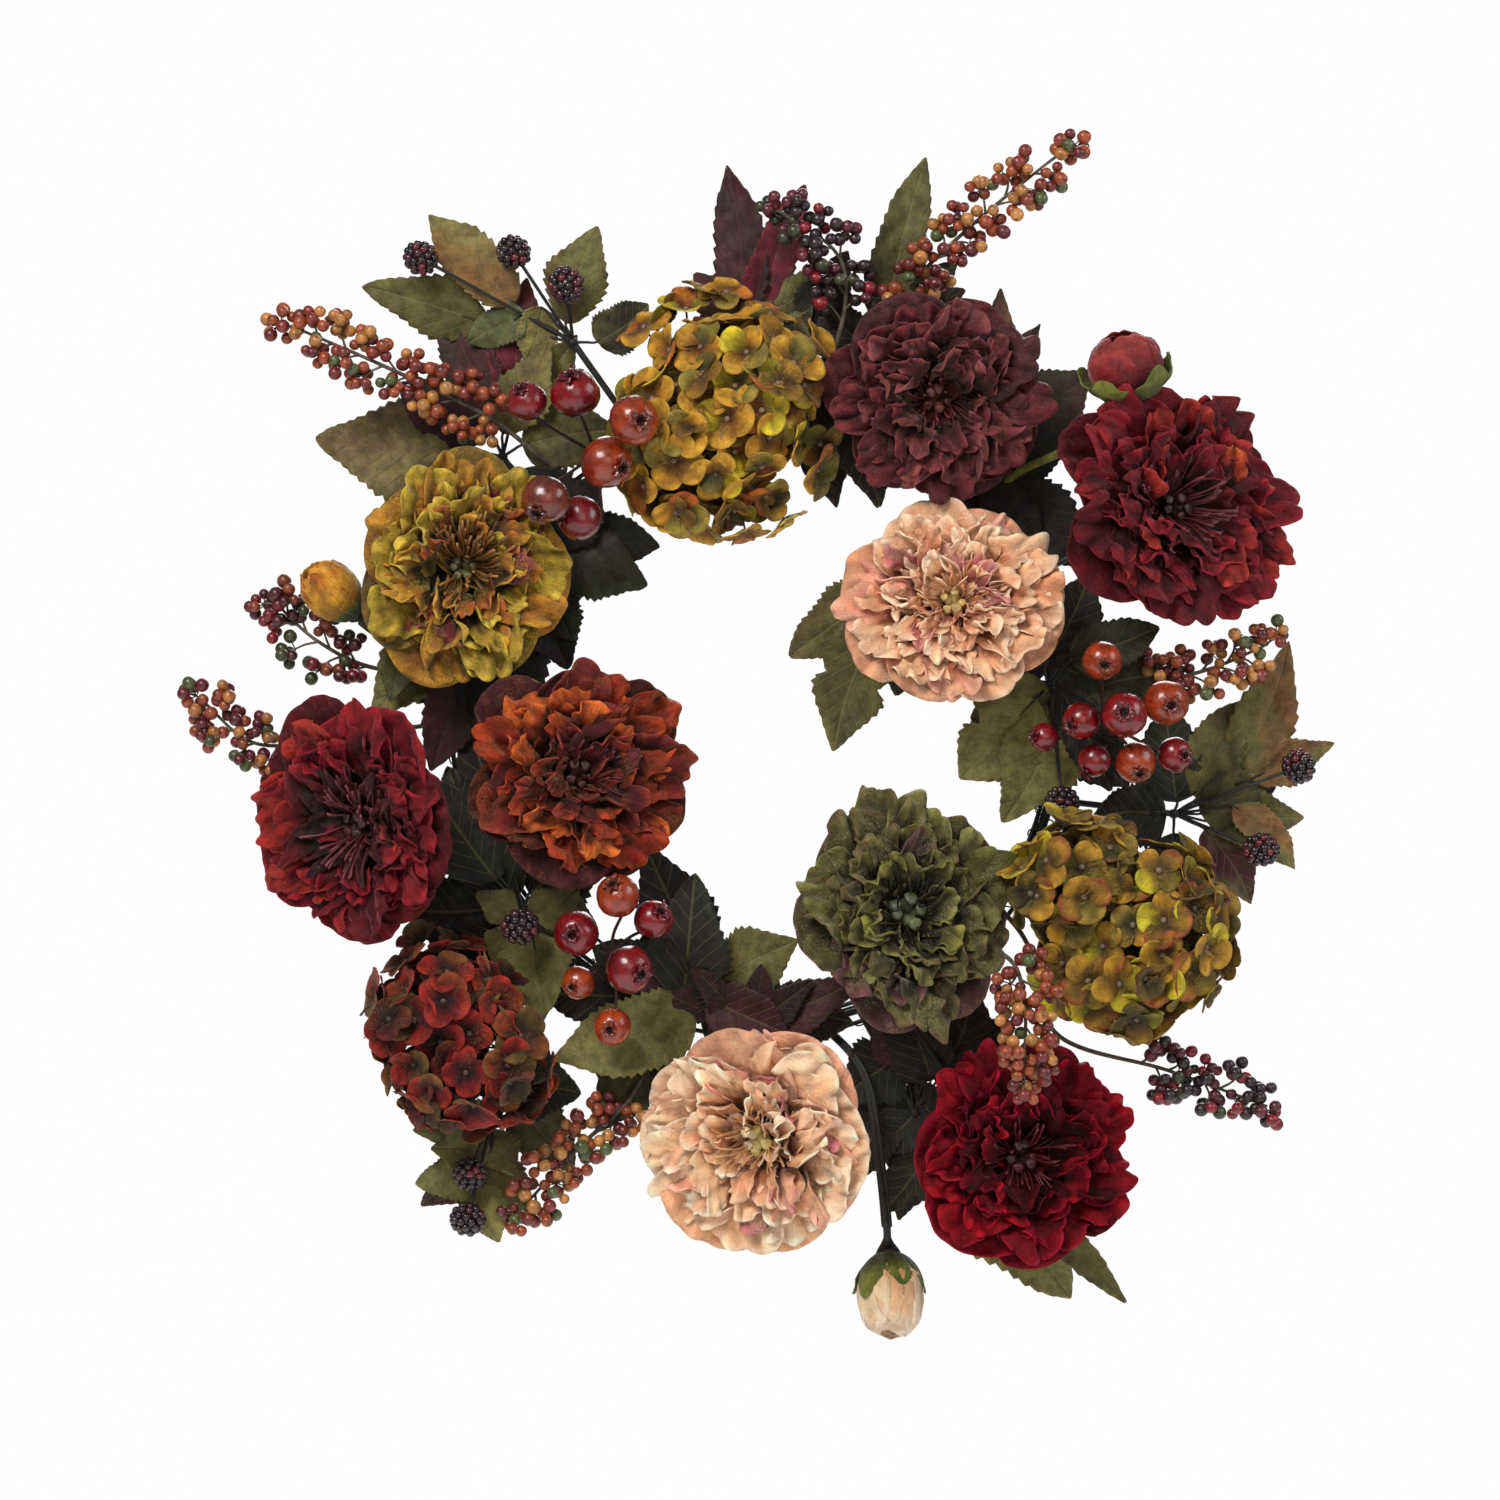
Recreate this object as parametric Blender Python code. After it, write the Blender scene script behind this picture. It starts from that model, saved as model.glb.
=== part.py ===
# Harvest door wreath: silk peonies, hydrangeas, buds, hips, berry sprays, brambles and
# leaf picks tied onto a ring of three coated rods, with a wire hanging loop.
#
# Frame: metres, +Z up, the wreath faces -Y, the door plane is y = 0.
# Origin: the hanging point, on the flat back of the main rod at the top of the ring.
# Sizes are in millimetres. Places in the tables are (x right, y, z up) from the centre
# of the ring. A foot angle says where a stem is tied on: degrees from +X towards +Z.

import math
import bpy
import bmesh
from mathutils import Matrix, Vector

# ---------------------------------------------------------------- driving dimensions
MM = 0.001
RING_R = 152.4          # centre line of the main rod, a 12 inch ring
MAIN_D = 5.0            # main rod, across its flats
SIDE_D = 2.4            # the two thinner rods beside it, across their flats
SIDE_ROD_SIDES = 6
HANGER_SLOT = 2.6       # space between the main and the outer rod for the hanging loop
GAP = 0.3               # clearance between neighbouring solids
SEGMENTS = 36           # straight facets around the ring
WIRE_R = 0.45           # binding wire
FOOT_Y = -8.6           # where a stem is tied on, in front of the binding wire
STEM_R = 1.7            # wired stem
SPRAY_R = 1.3           # stem of a berry spray
TWIG_R = 0.9            # twig of a bramble, hip or leaf
LEAF_T = 1.0            # leaf with its wire

ROD_Y = -MAIN_D / 2     # all three rods are centred on the main rod's depth
INNER_OFFSET = MAIN_D / 2 + GAP + SIDE_D / 2
OUTER_OFFSET = MAIN_D / 2 + HANGER_SLOT + SIDE_D / 2

# ---------------------------------------------------------------- arrangement
# name: foot angle, centre x, centre z, radius x, radius z, neck y, depth,
#       tilt in degrees (positive leans away from the ring's centre)
PEONIES = {
    "peony_gold": (152, -151, 80, 49, 55, -46, 68, 12),
    "peony_burgundy": (62, 84, 163, 51, 49, -44, 62, 14),
    "peony_red_right": (29, 209, 111, 52, 53, -46, 70, 14),
    "peony_peach_top": (37, 92, 63, 50, 42, -52, 68, -6),
    "peony_red_left": (197, -209, -47, 49, 55, -46, 70, 16),
    "peony_orange": (188, -93, -22, 48, 50, -50, 70, -6),
    "peony_olive": (-53, 71, -89, 52, 52, -50, 68, -6),
    "peony_peach_bottom": (-92, -4, -211, 54, 55, -46, 70, 8),
    "peony_crimson": (-64, 128, -217, 53, 53, -46, 66, 12),
}

# name: foot angle, lobes (x, y, z, radius x, radius z, half depth)
HYDRANGEAS = {
    "hydrangea_yellow": (104, (
        (-38, -58, 142, 36, 40, 24), (-5, -58, 165, 28, 38, 24), (-22, -54, 172, 34, 30, 22))),
    "hydrangea_olive": (-29, (
        (158, -60, -78, 34, 33, 24), (200, -60, -101, 36, 42, 24),
        (176, -56, -122, 40, 30, 22))),
    "hydrangea_bronze": (222, (
        (-160, -58, -146, 38, 36, 25), (-148, -58, -168, 42, 34, 25))),
}

# name: foot angle, bud centre, bud radius, bud length, direction of the bud axis,
#       stem knots, leaves (base x, y, z, tip x, y, z, width)
BUDS = {
    "bud_yellow": (160, (-216, -52, 68), 13, 30, (-0.72, -0.25, 0.65),
        ((-158, -22, 40), (-184, -40, 42), (-200, -47, 51)),
        ((-180, -37, 41, -187, -45, 13, 17),)),
    "bud_red": (45, (181, -64, 184), 17.5, 36, (-0.22, -0.35, 0.91),
        ((128, -24, 128), (152, -44, 139), (168, -54, 146), (179, -60, 160)), ()),
    "bud_cream": (-79, (65, -40, -288), 16, 42, (0.05, -0.25, -0.97),
        ((52, -24, -176), (60, -32, -222), (63, -36, -250)), ()),
}

# name: foot angle, fork point, hips (x, y, z, radius)
HIPS = {
    "hips_upper_left": (119, (-84, -44, 138), (
        (-117, -78, 162, 10), (-93, -78, 166, 12.5), (-72, -98, 147, 12.5),
        (-80, -84, 128, 13), (-91, -74, 104, 11.5), (-108, -98, 123, 12))),
    "hips_right": (-2, (172, -44, 2), (
        (170, -66, 33, 10), (202, -66, 12, 11.5), (159, -70, 3, 9.5), (180, -78, 6, 11.5),
        (141, -62, -5, 7.5), (166, -66, -17, 8.5), (187, -62, -18, 10.5),
        (207, -60, -14, 9))),
    "hips_lower_left": (238, (-76, -44, -114), (
        (-72, -72, -84, 11), (-93, -66, -103, 11.5), (-54, -66, -96, 10),
        (-66, -72, -121, 12), (-92, -62, -128, 8.5), (-75, -62, -150, 9.5))),
}

# name: foot angle, stem knots, clusters (share of the stem's length, side offset,
#       forward offset, radius). Seen from the front and looking from foot to tip, a
#       positive side offset is to the right.
SPRAYS = {
    "berry_spray_upper_left": (127,
        ((-112, -24, 137), (-140, -34, 158), (-190, -40, 182), (-238, -36, 203)),
        ((0.36, 6, 3, 9), (0.46, -8, 2, 9), (0.58, 8, 3, 10), (0.68, -9, 3, 9),
         (0.80, 7, 2, 9), (0.90, -6, 2, 8), (1.0, 0, 0, 7))),
    "berry_spray_upper_right": (70,
        ((60, -22, 172), (76, -26, 222), (104, -32, 252), (150, -34, 290)),
        ((0.42, -7, 2, 9), (0.54, 8, 2, 9), (0.64, -8, 2, 9), (0.74, 8, 2, 8),
         (0.84, -6, 2, 8), (0.93, 4, 1, 7), (1.0, 0, 0, 6))),
    "berry_spray_top": (81,
        ((29, -20, 168), (42, -24, 212), (38, -28, 240), (8, -30, 262)),
        ((0.50, 8, 2, 9), (0.62, -9, 2, 9), (0.72, 8, 2, 9), (0.82, -8, 2, 9),
         (0.92, 7, 2, 8), (1.0, 0, 0, 8))),
    "berry_spray_left": (168,
        ((-162, -20, 32), (-196, -26, 30), (-226, -30, 44), (-250, -30, 66)),
        ((0.52, 8, 2, 9), (0.66, -8, 2, 9), (0.80, 8, 2, 9), (0.92, -6, 2, 8),
         (1.0, 0, 0, 7))),
    "berry_spray_far_left": (180,
        ((-170, -20, 1), (-218, -24, -6), (-258, -26, -8), (-286, -26, 15)),
        ((0.70, -9, 2, 9), (0.80, 8, 2, 9), (0.90, -7, 2, 8), (1.0, 0, 0, 7))),
    "berry_spray_right": (6,
        ((166, -20, 19), (196, -30, 22), (228, -36, 30), (256, -36, 42)),
        ((0.50, -9, 2, 9), (0.62, 8, 2, 9), (0.75, -8, 2, 9), (0.88, 7, 2, 9),
         (1.0, 0, 0, 8))),
    "berry_spray_front": (-45,
        ((110, -30, -109), (118, -66, -112), (126, -92, -120), (129, -110, -140),
         (128, -116, -170)),
        ((0.60, -9, 3, 9), (0.68, 9, 3, 9), (0.76, -9, 3, 9), (0.84, 9, 3, 9),
         (0.92, -7, 2, 8), (1.0, 0, 0, 7))),
    "berry_spray_lower_right": (-37,
        ((136, -20, -112), (150, -28, -156), (206, -36, -174), (256, -34, -192)),
        ((0.62, 9, 2, 9), (0.74, -9, 2, 9), (0.84, 8, 2, 9), (0.93, -7, 2, 8),
         (1.0, 0, 0, 7))),
    "berry_spray_lower_left": (254,
        ((-50, -20, -158), (-68, -28, -190), (-92, -34, -212), (-122, -34, -244)),
        ((0.44, 9, 2, 9), (0.58, -9, 2, 9), (0.70, 9, 2, 9), (0.82, -9, 2, 9),
         (0.92, 6, 2, 8), (1.0, 0, 0, 7))),
}

# name: foot angle, fork point, brambles (x, y, z, radius),
#       leaves (base x, y, z, tip x, y, z, width)
BRAMBLES = {
    "bramble_pick_upper_left": (112, (-96, -20, 196),
        ((-173, -30, 238, 8.5), (-126, -30, 241, 8.5), (-99, -34, 224, 9)),
        ((-126, -18, 216, -170, -10, 262, 27), (-140, -16, 206, -204, -8, 226, 27),
         (-100, -18, 206, -84, -10, 256, 27), (-84, -22, 196, -58, -14, 216, 24))),
    "bramble_pick_left": (207, (-120, -40, -92),
        ((-121, -60, -100, 9),),
        ((-117, -44, -96, -96, -42, -82, 18), (-124, -42, -100, -134, -36, -118, 15))),
    "bramble_pick_lower_left": (231, (-134, -20, -188),
        ((-148, -34, -226, 8.5), (-149, -34, -249, 8.5)),
        ((-136, -18, -196, -178, -12, -206, 22), (-142, -18, -212, -172, -12, -242, 22),
         (-138, -20, -218, -122, -12, -254, 22))),
    "bramble_pick_right": (-14, (210, -18, -44),
        ((272, -32, -20, 8.5), (253, -32, -62, 8.5)),
        ((236, -16, -30, 270, -10, 44, 26), (250, -18, -26, 292, -14, -8, 18),
         (228, -16, -48, 276, -12, -46, 24), (226, -16, -52, 250, -12, -90, 24))),
    "bramble_pick_inner_right": (18, (146, -30, 22),
        ((151, -50, -38, 8.5),),
        ((138, -38, 14, 100, -42, -26, 40), (156, -42, 34, 198, -48, 48, 26))),
}

# name: foot angle, fork point, leaves (base x, y, z, tip x, y, z, width)
LEAVES = {
    "leaf_pick_upper_left": (136, (-132, -18, 138), (
        (-150, -15, 142, -226, -10, 146, 44), (-143, -14, 162, -162, -9, 210, 26),
        (-126, -13, 164, -120, -8, 228, 24))),
    "leaf_pick_top": (99, (-12, -16, 186), (
        (-12, -16, 206, -16, -8, 288, 26), (-4, -16, 206, 22, -8, 276, 22),
        (-4, -16, 196, 24, -14, 214, 22))),
    "leaf_pick_tall": (76, (54, -14, 184), (
        (62, -14, 200, 86, -8, 294, 30),)),
    "leaf_pick_inner_left": (144, (-112, -22, 88), (
        (-106, -24, 84, -60, -30, 74, 30), (-106, -26, 92, -84, -36, 126, 22))),
    "leaf_pick_inner_right": (46.5, (78, -30, 78), (
        (62, -36, 58, 37, -39, -10, 34), (58, -32, 68, 16, -30, 36, 26),
        (72, -41, 54, 68, -44, 18, 24))),
    "leaf_pick_lower_right": (-71, (78, -16, -196), (
        (104, -16, -232, 158, -12, -290, 40), (112, -18, -226, 184, -14, -292, 16))),
    "leaf_pick_lower_inner": (262, (-22, -26, -136), (
        (-30, -26, -130, -58, -30, -62, 32), (-22, -24, -128, 16, -28, -112, 28),
        (-32, -22, -140, -66, -14, -140, 20), (-34, -24, -146, -104, -38, -166, 34))),
    "leaf_pick_upper_right": (54, (108, -17, 140), (
        (128, -18, 154, 166, -12, 180, 28),)),
}

# ---------------------------------------------------------------- finishes
# name: colour (linear RGB), roughness, metallic
FINISHES = {
    "rod": ((0.020, 0.020, 0.022), 0.45, 0.0),
    "wire": ((0.030, 0.028, 0.026), 0.40, 0.6),
    "stem": ((0.045, 0.050, 0.035), 0.60, 0.0),
    "green": ((0.190, 0.200, 0.060), 0.60, 0.0),
    "leaf_olive": ((0.110, 0.100, 0.030), 0.70, 0.0),
    "leaf_maroon": ((0.045, 0.012, 0.018), 0.70, 0.0),
    "leaf_dark": ((0.020, 0.022, 0.014), 0.70, 0.0),
    "gold": ((0.320, 0.240, 0.030), 0.75, 0.0),
    "burgundy": ((0.110, 0.022, 0.026), 0.75, 0.0),
    "red": ((0.280, 0.012, 0.014), 0.70, 0.0),
    "peach": ((0.760, 0.470, 0.290), 0.75, 0.0),
    "copper": ((0.340, 0.100, 0.030), 0.75, 0.0),
    "olive": ((0.140, 0.130, 0.030), 0.75, 0.0),
    "crimson": ((0.230, 0.004, 0.014), 0.70, 0.0),
    "yellow": ((0.560, 0.320, 0.030), 0.70, 0.0),
    "bronze": ((0.260, 0.050, 0.022), 0.70, 0.0),
    "cream": ((0.780, 0.620, 0.440), 0.70, 0.0),
    "hip": ((0.280, 0.018, 0.014), 0.25, 0.0),
    "berry_orange": ((0.360, 0.100, 0.040), 0.35, 0.0),
    "berry_dark": ((0.040, 0.010, 0.016), 0.35, 0.0),
    "bramble": ((0.025, 0.010, 0.018), 0.30, 0.0),
}

# Sprays and leaf picks that aren't listed are berry_orange and leaf_olive.
FINISH_OF = {
    "peony_gold": "gold", "peony_burgundy": "burgundy", "peony_red_right": "red",
    "peony_peach_top": "peach", "peony_red_left": "red", "peony_orange": "copper",
    "peony_olive": "olive", "peony_peach_bottom": "peach", "peony_crimson": "crimson",
    "hydrangea_yellow": "yellow", "hydrangea_olive": "olive", "hydrangea_bronze": "bronze",
    "bud_yellow": "yellow", "bud_red": "red", "bud_cream": "cream",
    "berry_spray_top": "berry_dark", "berry_spray_left": "berry_dark",
    "berry_spray_lower_right": "berry_dark",
    "leaf_pick_upper_left": "leaf_maroon", "leaf_pick_top": "leaf_maroon",
    "leaf_pick_inner_left": "leaf_dark", "leaf_pick_upper_right": "leaf_dark",
}

# ---------------------------------------------------------------- scene and materials
for old in list(bpy.data.objects):
    bpy.data.objects.remove(old, do_unlink=True)

WREATH = bpy.data.collections.new("harvest_door_wreath")
bpy.context.scene.collection.children.link(WREATH)


def material(name, finish):
    colour, roughness, metallic = FINISHES[finish]
    mat = bpy.data.materials.new(name)
    mat.use_nodes = True
    shader = mat.node_tree.nodes["Principled BSDF"]
    shader.inputs["Base Color"].default_value = (*colour, 1.0)
    shader.inputs["Roughness"].default_value = roughness
    shader.inputs["Metallic"].default_value = metallic
    mat.diffuse_color = (*colour, 1.0)
    return mat


# ---------------------------------------------------------------- places
def place(x, y, z):
    """Millimetres from the ring's centre to metres from the hanging point."""
    return Vector((x, y, z - RING_R)) * MM


def on_circle(radius, y, angle):
    """A place on a circle about the ring's centre, angle in radians."""
    return place(radius * math.cos(angle), y, radius * math.sin(angle))


def foot(degrees):
    return on_circle(RING_R, FOOT_Y, math.radians(degrees))


def forward(distance):
    """A step away from the door."""
    return Vector((0, -distance * MM, 0))


def facing(axis):
    """A rotation whose local +Z looks along the unit axis, local +X as near world +X."""
    x = Vector((1, 0, 0))
    x = (x - axis * x.dot(axis)).normalized()
    return Matrix((x, axis.cross(x), axis)).transposed().to_4x4()


# ---------------------------------------------------------------- modelling helpers
def link_object(data):
    ob = bpy.data.objects.new("piece", data)
    WREATH.objects.link(ob)
    return ob


def solid(bm, mesh=None):
    """Writes the bmesh to the mesh, or to a new one, and links it as an object."""
    mesh = mesh or bpy.data.meshes.new("piece")
    bm.to_mesh(mesh)
    bm.free()
    return link_object(mesh)


def evaluated_mesh(ob):
    deps = bpy.context.evaluated_depsgraph_get()
    return bpy.data.meshes.new_from_object(ob.evaluated_get(deps))


def finish_piece(ob, name, finish, origin):
    """Names the piece, moves its origin and gives it its material."""
    ob.name = name
    ob.data.name = name
    ob.data.transform(Matrix.Translation(-origin))
    ob.location = origin
    ob.data.materials.clear()
    ob.data.materials.append(material("m_" + name, finish))
    ob.data.shade_smooth()
    ob.data.set_sharp_from_angle(angle=math.radians(40))


def tube(points, radii, resolution=1):
    """A POLY curve with a round bevel and caps, made a closed mesh."""
    data = bpy.data.curves.new("tube", "CURVE")
    data.dimensions = "3D"
    data.bevel_depth = 1.0
    data.bevel_resolution = resolution
    data.use_fill_caps = True
    data.twist_mode = "MINIMUM"
    line = data.splines.new("POLY")
    line.points.add(len(points) - 1)
    for knot, position, radius in zip(line.points, points, radii):
        knot.co = (*position, 1.0)
        knot.radius = radius * MM
    curve = link_object(data)
    mesh = evaluated_mesh(curve)
    bpy.data.objects.remove(curve, do_unlink=True)
    bm = bmesh.new()
    bm.from_mesh(mesh)
    bmesh.ops.remove_doubles(bm, verts=bm.verts, dist=0.00001)
    bmesh.ops.recalc_face_normals(bm, faces=bm.faces)
    return solid(bm, mesh)


def ball(centre, radii, segments, rings):
    bm = bmesh.new()
    bmesh.ops.create_uvsphere(bm, u_segments=segments, v_segments=rings, radius=1.0)
    scale = Matrix.Diagonal((*[r * MM for r in radii], 1.0))
    bmesh.ops.transform(bm, matrix=Matrix.Translation(centre) @ scale, verts=bm.verts)
    return solid(bm)


# One half of a leaf: share of the length, half width as a share of the full width
LEAF_OUTLINE = ((0.0, 0.12), (0.28, 0.44), (0.60, 0.46), (1.0, 0.03))


def leaf_plate(base, tip, width):
    """A flat pointed blade from base to tip, its thickness laid on the front."""
    length = (tip - base).length
    along = (tip - base).normalized()
    side = along.cross(Vector((0, -1, 0))).normalized()
    front = side.cross(along).normalized()
    bm = bmesh.new()
    rim = []
    for sign, outline in ((1, LEAF_OUTLINE), (-1, reversed(LEAF_OUTLINE))):
        for share, half in outline:
            edge = side * (sign * half * width * MM)
            rim.append(bm.verts.new(base + along * (share * length) + edge))
    face = bm.faces.new(rim)
    out = bmesh.ops.extrude_face_region(bm, geom=[face])
    moved = [item for item in out["geom"] if isinstance(item, bmesh.types.BMVert)]
    bmesh.ops.translate(bm, verts=moved, vec=front * (LEAF_T * MM))
    bmesh.ops.recalc_face_normals(bm, faces=bm.faces)
    return solid(bm)


def fuse(pieces):
    """One closed body from overlapping pieces, by Boolean union."""
    base = pieces[0]
    for extra in pieces[1:]:
        union = base.modifiers.new("union", "BOOLEAN")
        union.operation = "UNION"
        union.solver = "EXACT"
        union.object = extra
    mesh = evaluated_mesh(base)
    for ob in pieces:
        bpy.data.objects.remove(ob, do_unlink=True)
    bm = bmesh.new()
    bm.from_mesh(mesh)
    bmesh.ops.remove_doubles(bm, verts=bm.verts, dist=0.000002)
    bmesh.ops.triangulate(bm, faces=bm.faces)
    return solid(bm, mesh)


# ---------------------------------------------------------------- ring
def ring_rod(name, radius, across, sides):
    """A rod bent to a ring, one flat towards the door and a straight facet at the top."""
    section_r = across / 2 / math.cos(math.pi / sides)
    bm = bmesh.new()
    rows = []
    for i in range(SEGMENTS):
        around = 2 * math.pi * (i + 0.5) / SEGMENTS
        row = []
        for k in range(sides):
            turn = 2 * math.pi * (k + 0.5) / sides + math.pi / 2
            corner_r = (radius + section_r * math.cos(turn)) / math.cos(math.pi / SEGMENTS)
            y = ROD_Y + section_r * math.sin(turn)
            row.append(bm.verts.new(on_circle(corner_r, y, around)))
        rows.append(row)
    for i, row in enumerate(rows):
        after = rows[(i + 1) % SEGMENTS]
        for k in range(sides):
            n = (k + 1) % sides
            bm.faces.new((row[k], row[n], after[n], after[k]))
    bmesh.ops.recalc_face_normals(bm, faces=bm.faces)
    finish_piece(solid(bm), name, "rod", place(0, 0, 0))


ring_rod("ring_rod_main", RING_R, MAIN_D, 8)
ring_rod("ring_rod_inner", RING_R - INNER_OFFSET, SIDE_D, SIDE_ROD_SIDES)
ring_rod("ring_rod_outer", RING_R + OUTER_OFFSET, SIDE_D, SIDE_ROD_SIDES)

# ---------------------------------------------------------------- binding wire
WIRE_TURNS = 18
WIRE_START = 102.0      # degrees; start and sweep leave the hanging point free
WIRE_SWEEP = 336.0
# Offsets of the wire's centre line from the main rod's, with some slack
WIRE_INSIDE = -(INNER_OFFSET + SIDE_D / 2 + WIRE_R + 0.8)
WIRE_OUTSIDE = OUTER_OFFSET + SIDE_D / 2 + WIRE_R + 1.4
WIRE_DEPTH = MAIN_D / 2 + GAP + WIRE_R + 0.15


def binding_wire():
    """Winds round the three rods, four knots to the turn."""
    knots = []
    steps = WIRE_TURNS * 4
    for i in range(steps + 1):
        angle = math.radians(WIRE_START + WIRE_SWEEP * (i / steps))
        offset = WIRE_OUTSIDE if i % 4 in (0, 3) else WIRE_INSIDE
        depth = -WIRE_DEPTH if i % 4 in (0, 1) else WIRE_DEPTH
        knots.append(on_circle(RING_R + offset, ROD_Y + depth, angle))
    wire = tube(knots, [WIRE_R] * len(knots), resolution=0)
    finish_piece(wire, "binding_wire", "wire", place(0, 0, 0))


binding_wire()

# ---------------------------------------------------------------- hanging loop
HANGER_R = 0.8          # its wire
HANGER_HALF_W = 11.0    # from the middle to an eye
HANGER_H = 27.0         # top of the bow above the outer rod
BOW_R = 9.0
EYE_STEP = 30           # degrees between the knots of an eye
# The eye's knots lie further out, so that its straight pieces clear the rod's corners.
EYE_R = ((SIDE_D / 2 / math.cos(math.pi / SIDE_ROD_SIDES) + GAP + HANGER_R + 0.05)
         / math.cos(math.radians(EYE_STEP / 2)))


def hanger_loop():
    """An open eye round the outer rod at either side and a bow between them."""
    pivot = place(0, ROD_Y, RING_R + OUTER_OFFSET)

    def eye(x):
        """From above the rod, down its front and up behind it."""
        points = []
        for degrees in range(EYE_STEP // 2, 255, EYE_STEP):
            turn = math.radians(degrees)
            offset = Vector((x, -EYE_R * math.sin(turn), EYE_R * math.cos(turn)))
            points.append(pivot + offset * MM)
        return points

    bow = []
    for degrees in range(180, -1, -30):
        turn = math.radians(degrees)
        z = HANGER_H - BOW_R + BOW_R * math.sin(turn)
        bow.append(pivot + Vector((BOW_R * math.cos(turn), -EYE_R, z)) * MM)
    loop = eye(-HANGER_HALF_W)[::-1] + bow + eye(HANGER_HALF_W)
    finish_piece(tube(loop, [HANGER_R] * len(loop)), "hanger_loop", "wire", pivot)


hanger_loop()

# ---------------------------------------------------------------- peonies
# Ring by ring from the neck to the heart: share of the radius, share of the depth, ruffle
PEONY_ROWS = ((0.26, 0.0, 0.0), (0.66, 0.10, 0.02), (1.0, 0.40, 0.05), (0.93, 0.60, 0.06),
              (0.80, 0.80, 0.05), (0.56, 0.98, 0.05), (0.24, 0.92, 0.03))
PETALS = 7
RUFFLE_SHIFT = 1.3      # radians by which the ruffle's phase changes from ring to ring
HEART_SHARE = 0.80      # middle of the face, share of the depth
CALYX_R = 13.0


def peony_head(neck, axis, radius_x, radius_z, depth):
    """A sphere whose rings are moved to the peony's rows, opening along the axis."""
    last = len(PEONY_ROWS) + 1
    bm = bmesh.new()
    bmesh.ops.create_uvsphere(bm, u_segments=2 * PETALS, v_segments=last, radius=1.0)
    for v in bm.verts:
        turn = math.atan2(v.co.y, v.co.x)
        polar = math.acos(max(-1.0, min(1.0, v.co.z)))
        row = int(round((1.0 - polar / math.pi) * last))
        if row == 0:
            v.co = Vector((0, 0, 0))
        elif row == last:
            v.co = Vector((0, 0, HEART_SHARE * depth * MM))
        else:
            share, rise, ruffle = PEONY_ROWS[row - 1]
            r = share * (1.0 + ruffle * math.cos(PETALS * turn + row * RUFFLE_SHIFT))
            v.co = Vector((r * radius_x * math.cos(turn), r * radius_z * math.sin(turn),
                           rise * depth)) * MM
    bmesh.ops.transform(bm, matrix=Matrix.Translation(neck) @ facing(axis), verts=bm.verts)
    return solid(bm)


def peony_stem(tie, neck, axis):
    """Leaves the ring forwards and widens into the calyx behind the head."""
    start = tie + forward(10)
    throat = neck - axis * 14 * MM
    points = [tie, start, start.lerp(throat, 0.5) + forward(3), throat,
              neck - axis * 7 * MM, neck - axis * (GAP + 0.1) * MM]
    return tube(points, [STEM_R, STEM_R, STEM_R, STEM_R * 1.2, CALYX_R * 0.7, CALYX_R])


def peony(name, angle, x, z, radius_x, radius_z, neck_y, depth, tilt):
    outward = math.atan2(z, x)
    lean = math.radians(tilt)
    axis = Vector((math.cos(outward) * math.sin(lean), -math.cos(lean),
                   math.sin(outward) * math.sin(lean))).normalized()
    neck = place(x, 0, z) - axis * (0.5 * depth * MM)
    neck.y = neck_y * MM
    tie = foot(angle)
    head = peony_head(neck, axis, radius_x, radius_z, depth)
    finish_piece(head, name, FINISH_OF[name], tie)
    finish_piece(peony_stem(tie, neck, axis), name + "_stem", "stem", tie)


for key, spec in PEONIES.items():
    peony(key, *spec)


# ---------------------------------------------------------------- hydrangeas
def hydrangea(name, angle, lobes):
    tie = foot(angle)
    head = fuse([ball(place(x, y, z), (radius_x, half_depth, radius_z), 12, 7)
                 for x, y, z, radius_x, radius_z, half_depth in lobes])
    finish_piece(head, name, FINISH_OF[name], tie)
    # The stem ends in a flare behind the middle of the lobes.
    xs, ys, zs, _, _, half_depths = zip(*lobes)
    back = max(y + half_depth for y, half_depth in zip(ys, half_depths))
    end = place(sum(xs) / len(lobes), back + 3.2, sum(zs) / len(lobes))
    points = [tie, tie + forward(6), tie.lerp(end, 0.5) + forward(2), end + forward(-5), end]
    finish_piece(tube(points, [STEM_R] * 4 + [2 * STEM_R]), name + "_stem", "stem", tie)


for key, spec in HYDRANGEAS.items():
    hydrangea(key, *spec)

# ---------------------------------------------------------------- buds
BUD_TAPER = 0.18        # narrowing towards the tip


def bud_head(centre, radius, length, axis):
    bm = bmesh.new()
    bmesh.ops.create_uvsphere(bm, u_segments=10, v_segments=7, radius=1.0)
    for v in bm.verts:
        r = radius * (1.0 - BUD_TAPER * max(0.0, v.co.z))
        v.co = Vector((v.co.x * r, v.co.y * r, v.co.z * length / 2)) * MM
    bmesh.ops.transform(bm, matrix=Matrix.Translation(centre) @ facing(axis), verts=bm.verts)
    return solid(bm)


def bud(name, angle, centre, radius, length, direction, knots, leaves):
    tie = foot(angle)
    axis = Vector(direction).normalized()
    centre = place(*centre)
    finish_piece(bud_head(centre, radius, length, axis), name, FINISH_OF[name], tie)
    base = centre - axis * (length / 2 + GAP) * MM
    points = [tie] + [place(*k) for k in knots] + [base - axis * 6 * MM, base - axis * 0.2 * MM]
    pieces = [tube(points, [STEM_R] * (len(points) - 1) + [radius * 0.45])]
    for *ends, width in leaves:
        pieces.append(leaf_plate(place(*ends[:3]), place(*ends[3:]), width))
    stem = fuse(pieces) if leaves else pieces[0]
    finish_piece(stem, name + "_stem", "green", tie)


for key, spec in BUDS.items():
    bud(key, *spec)


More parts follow.
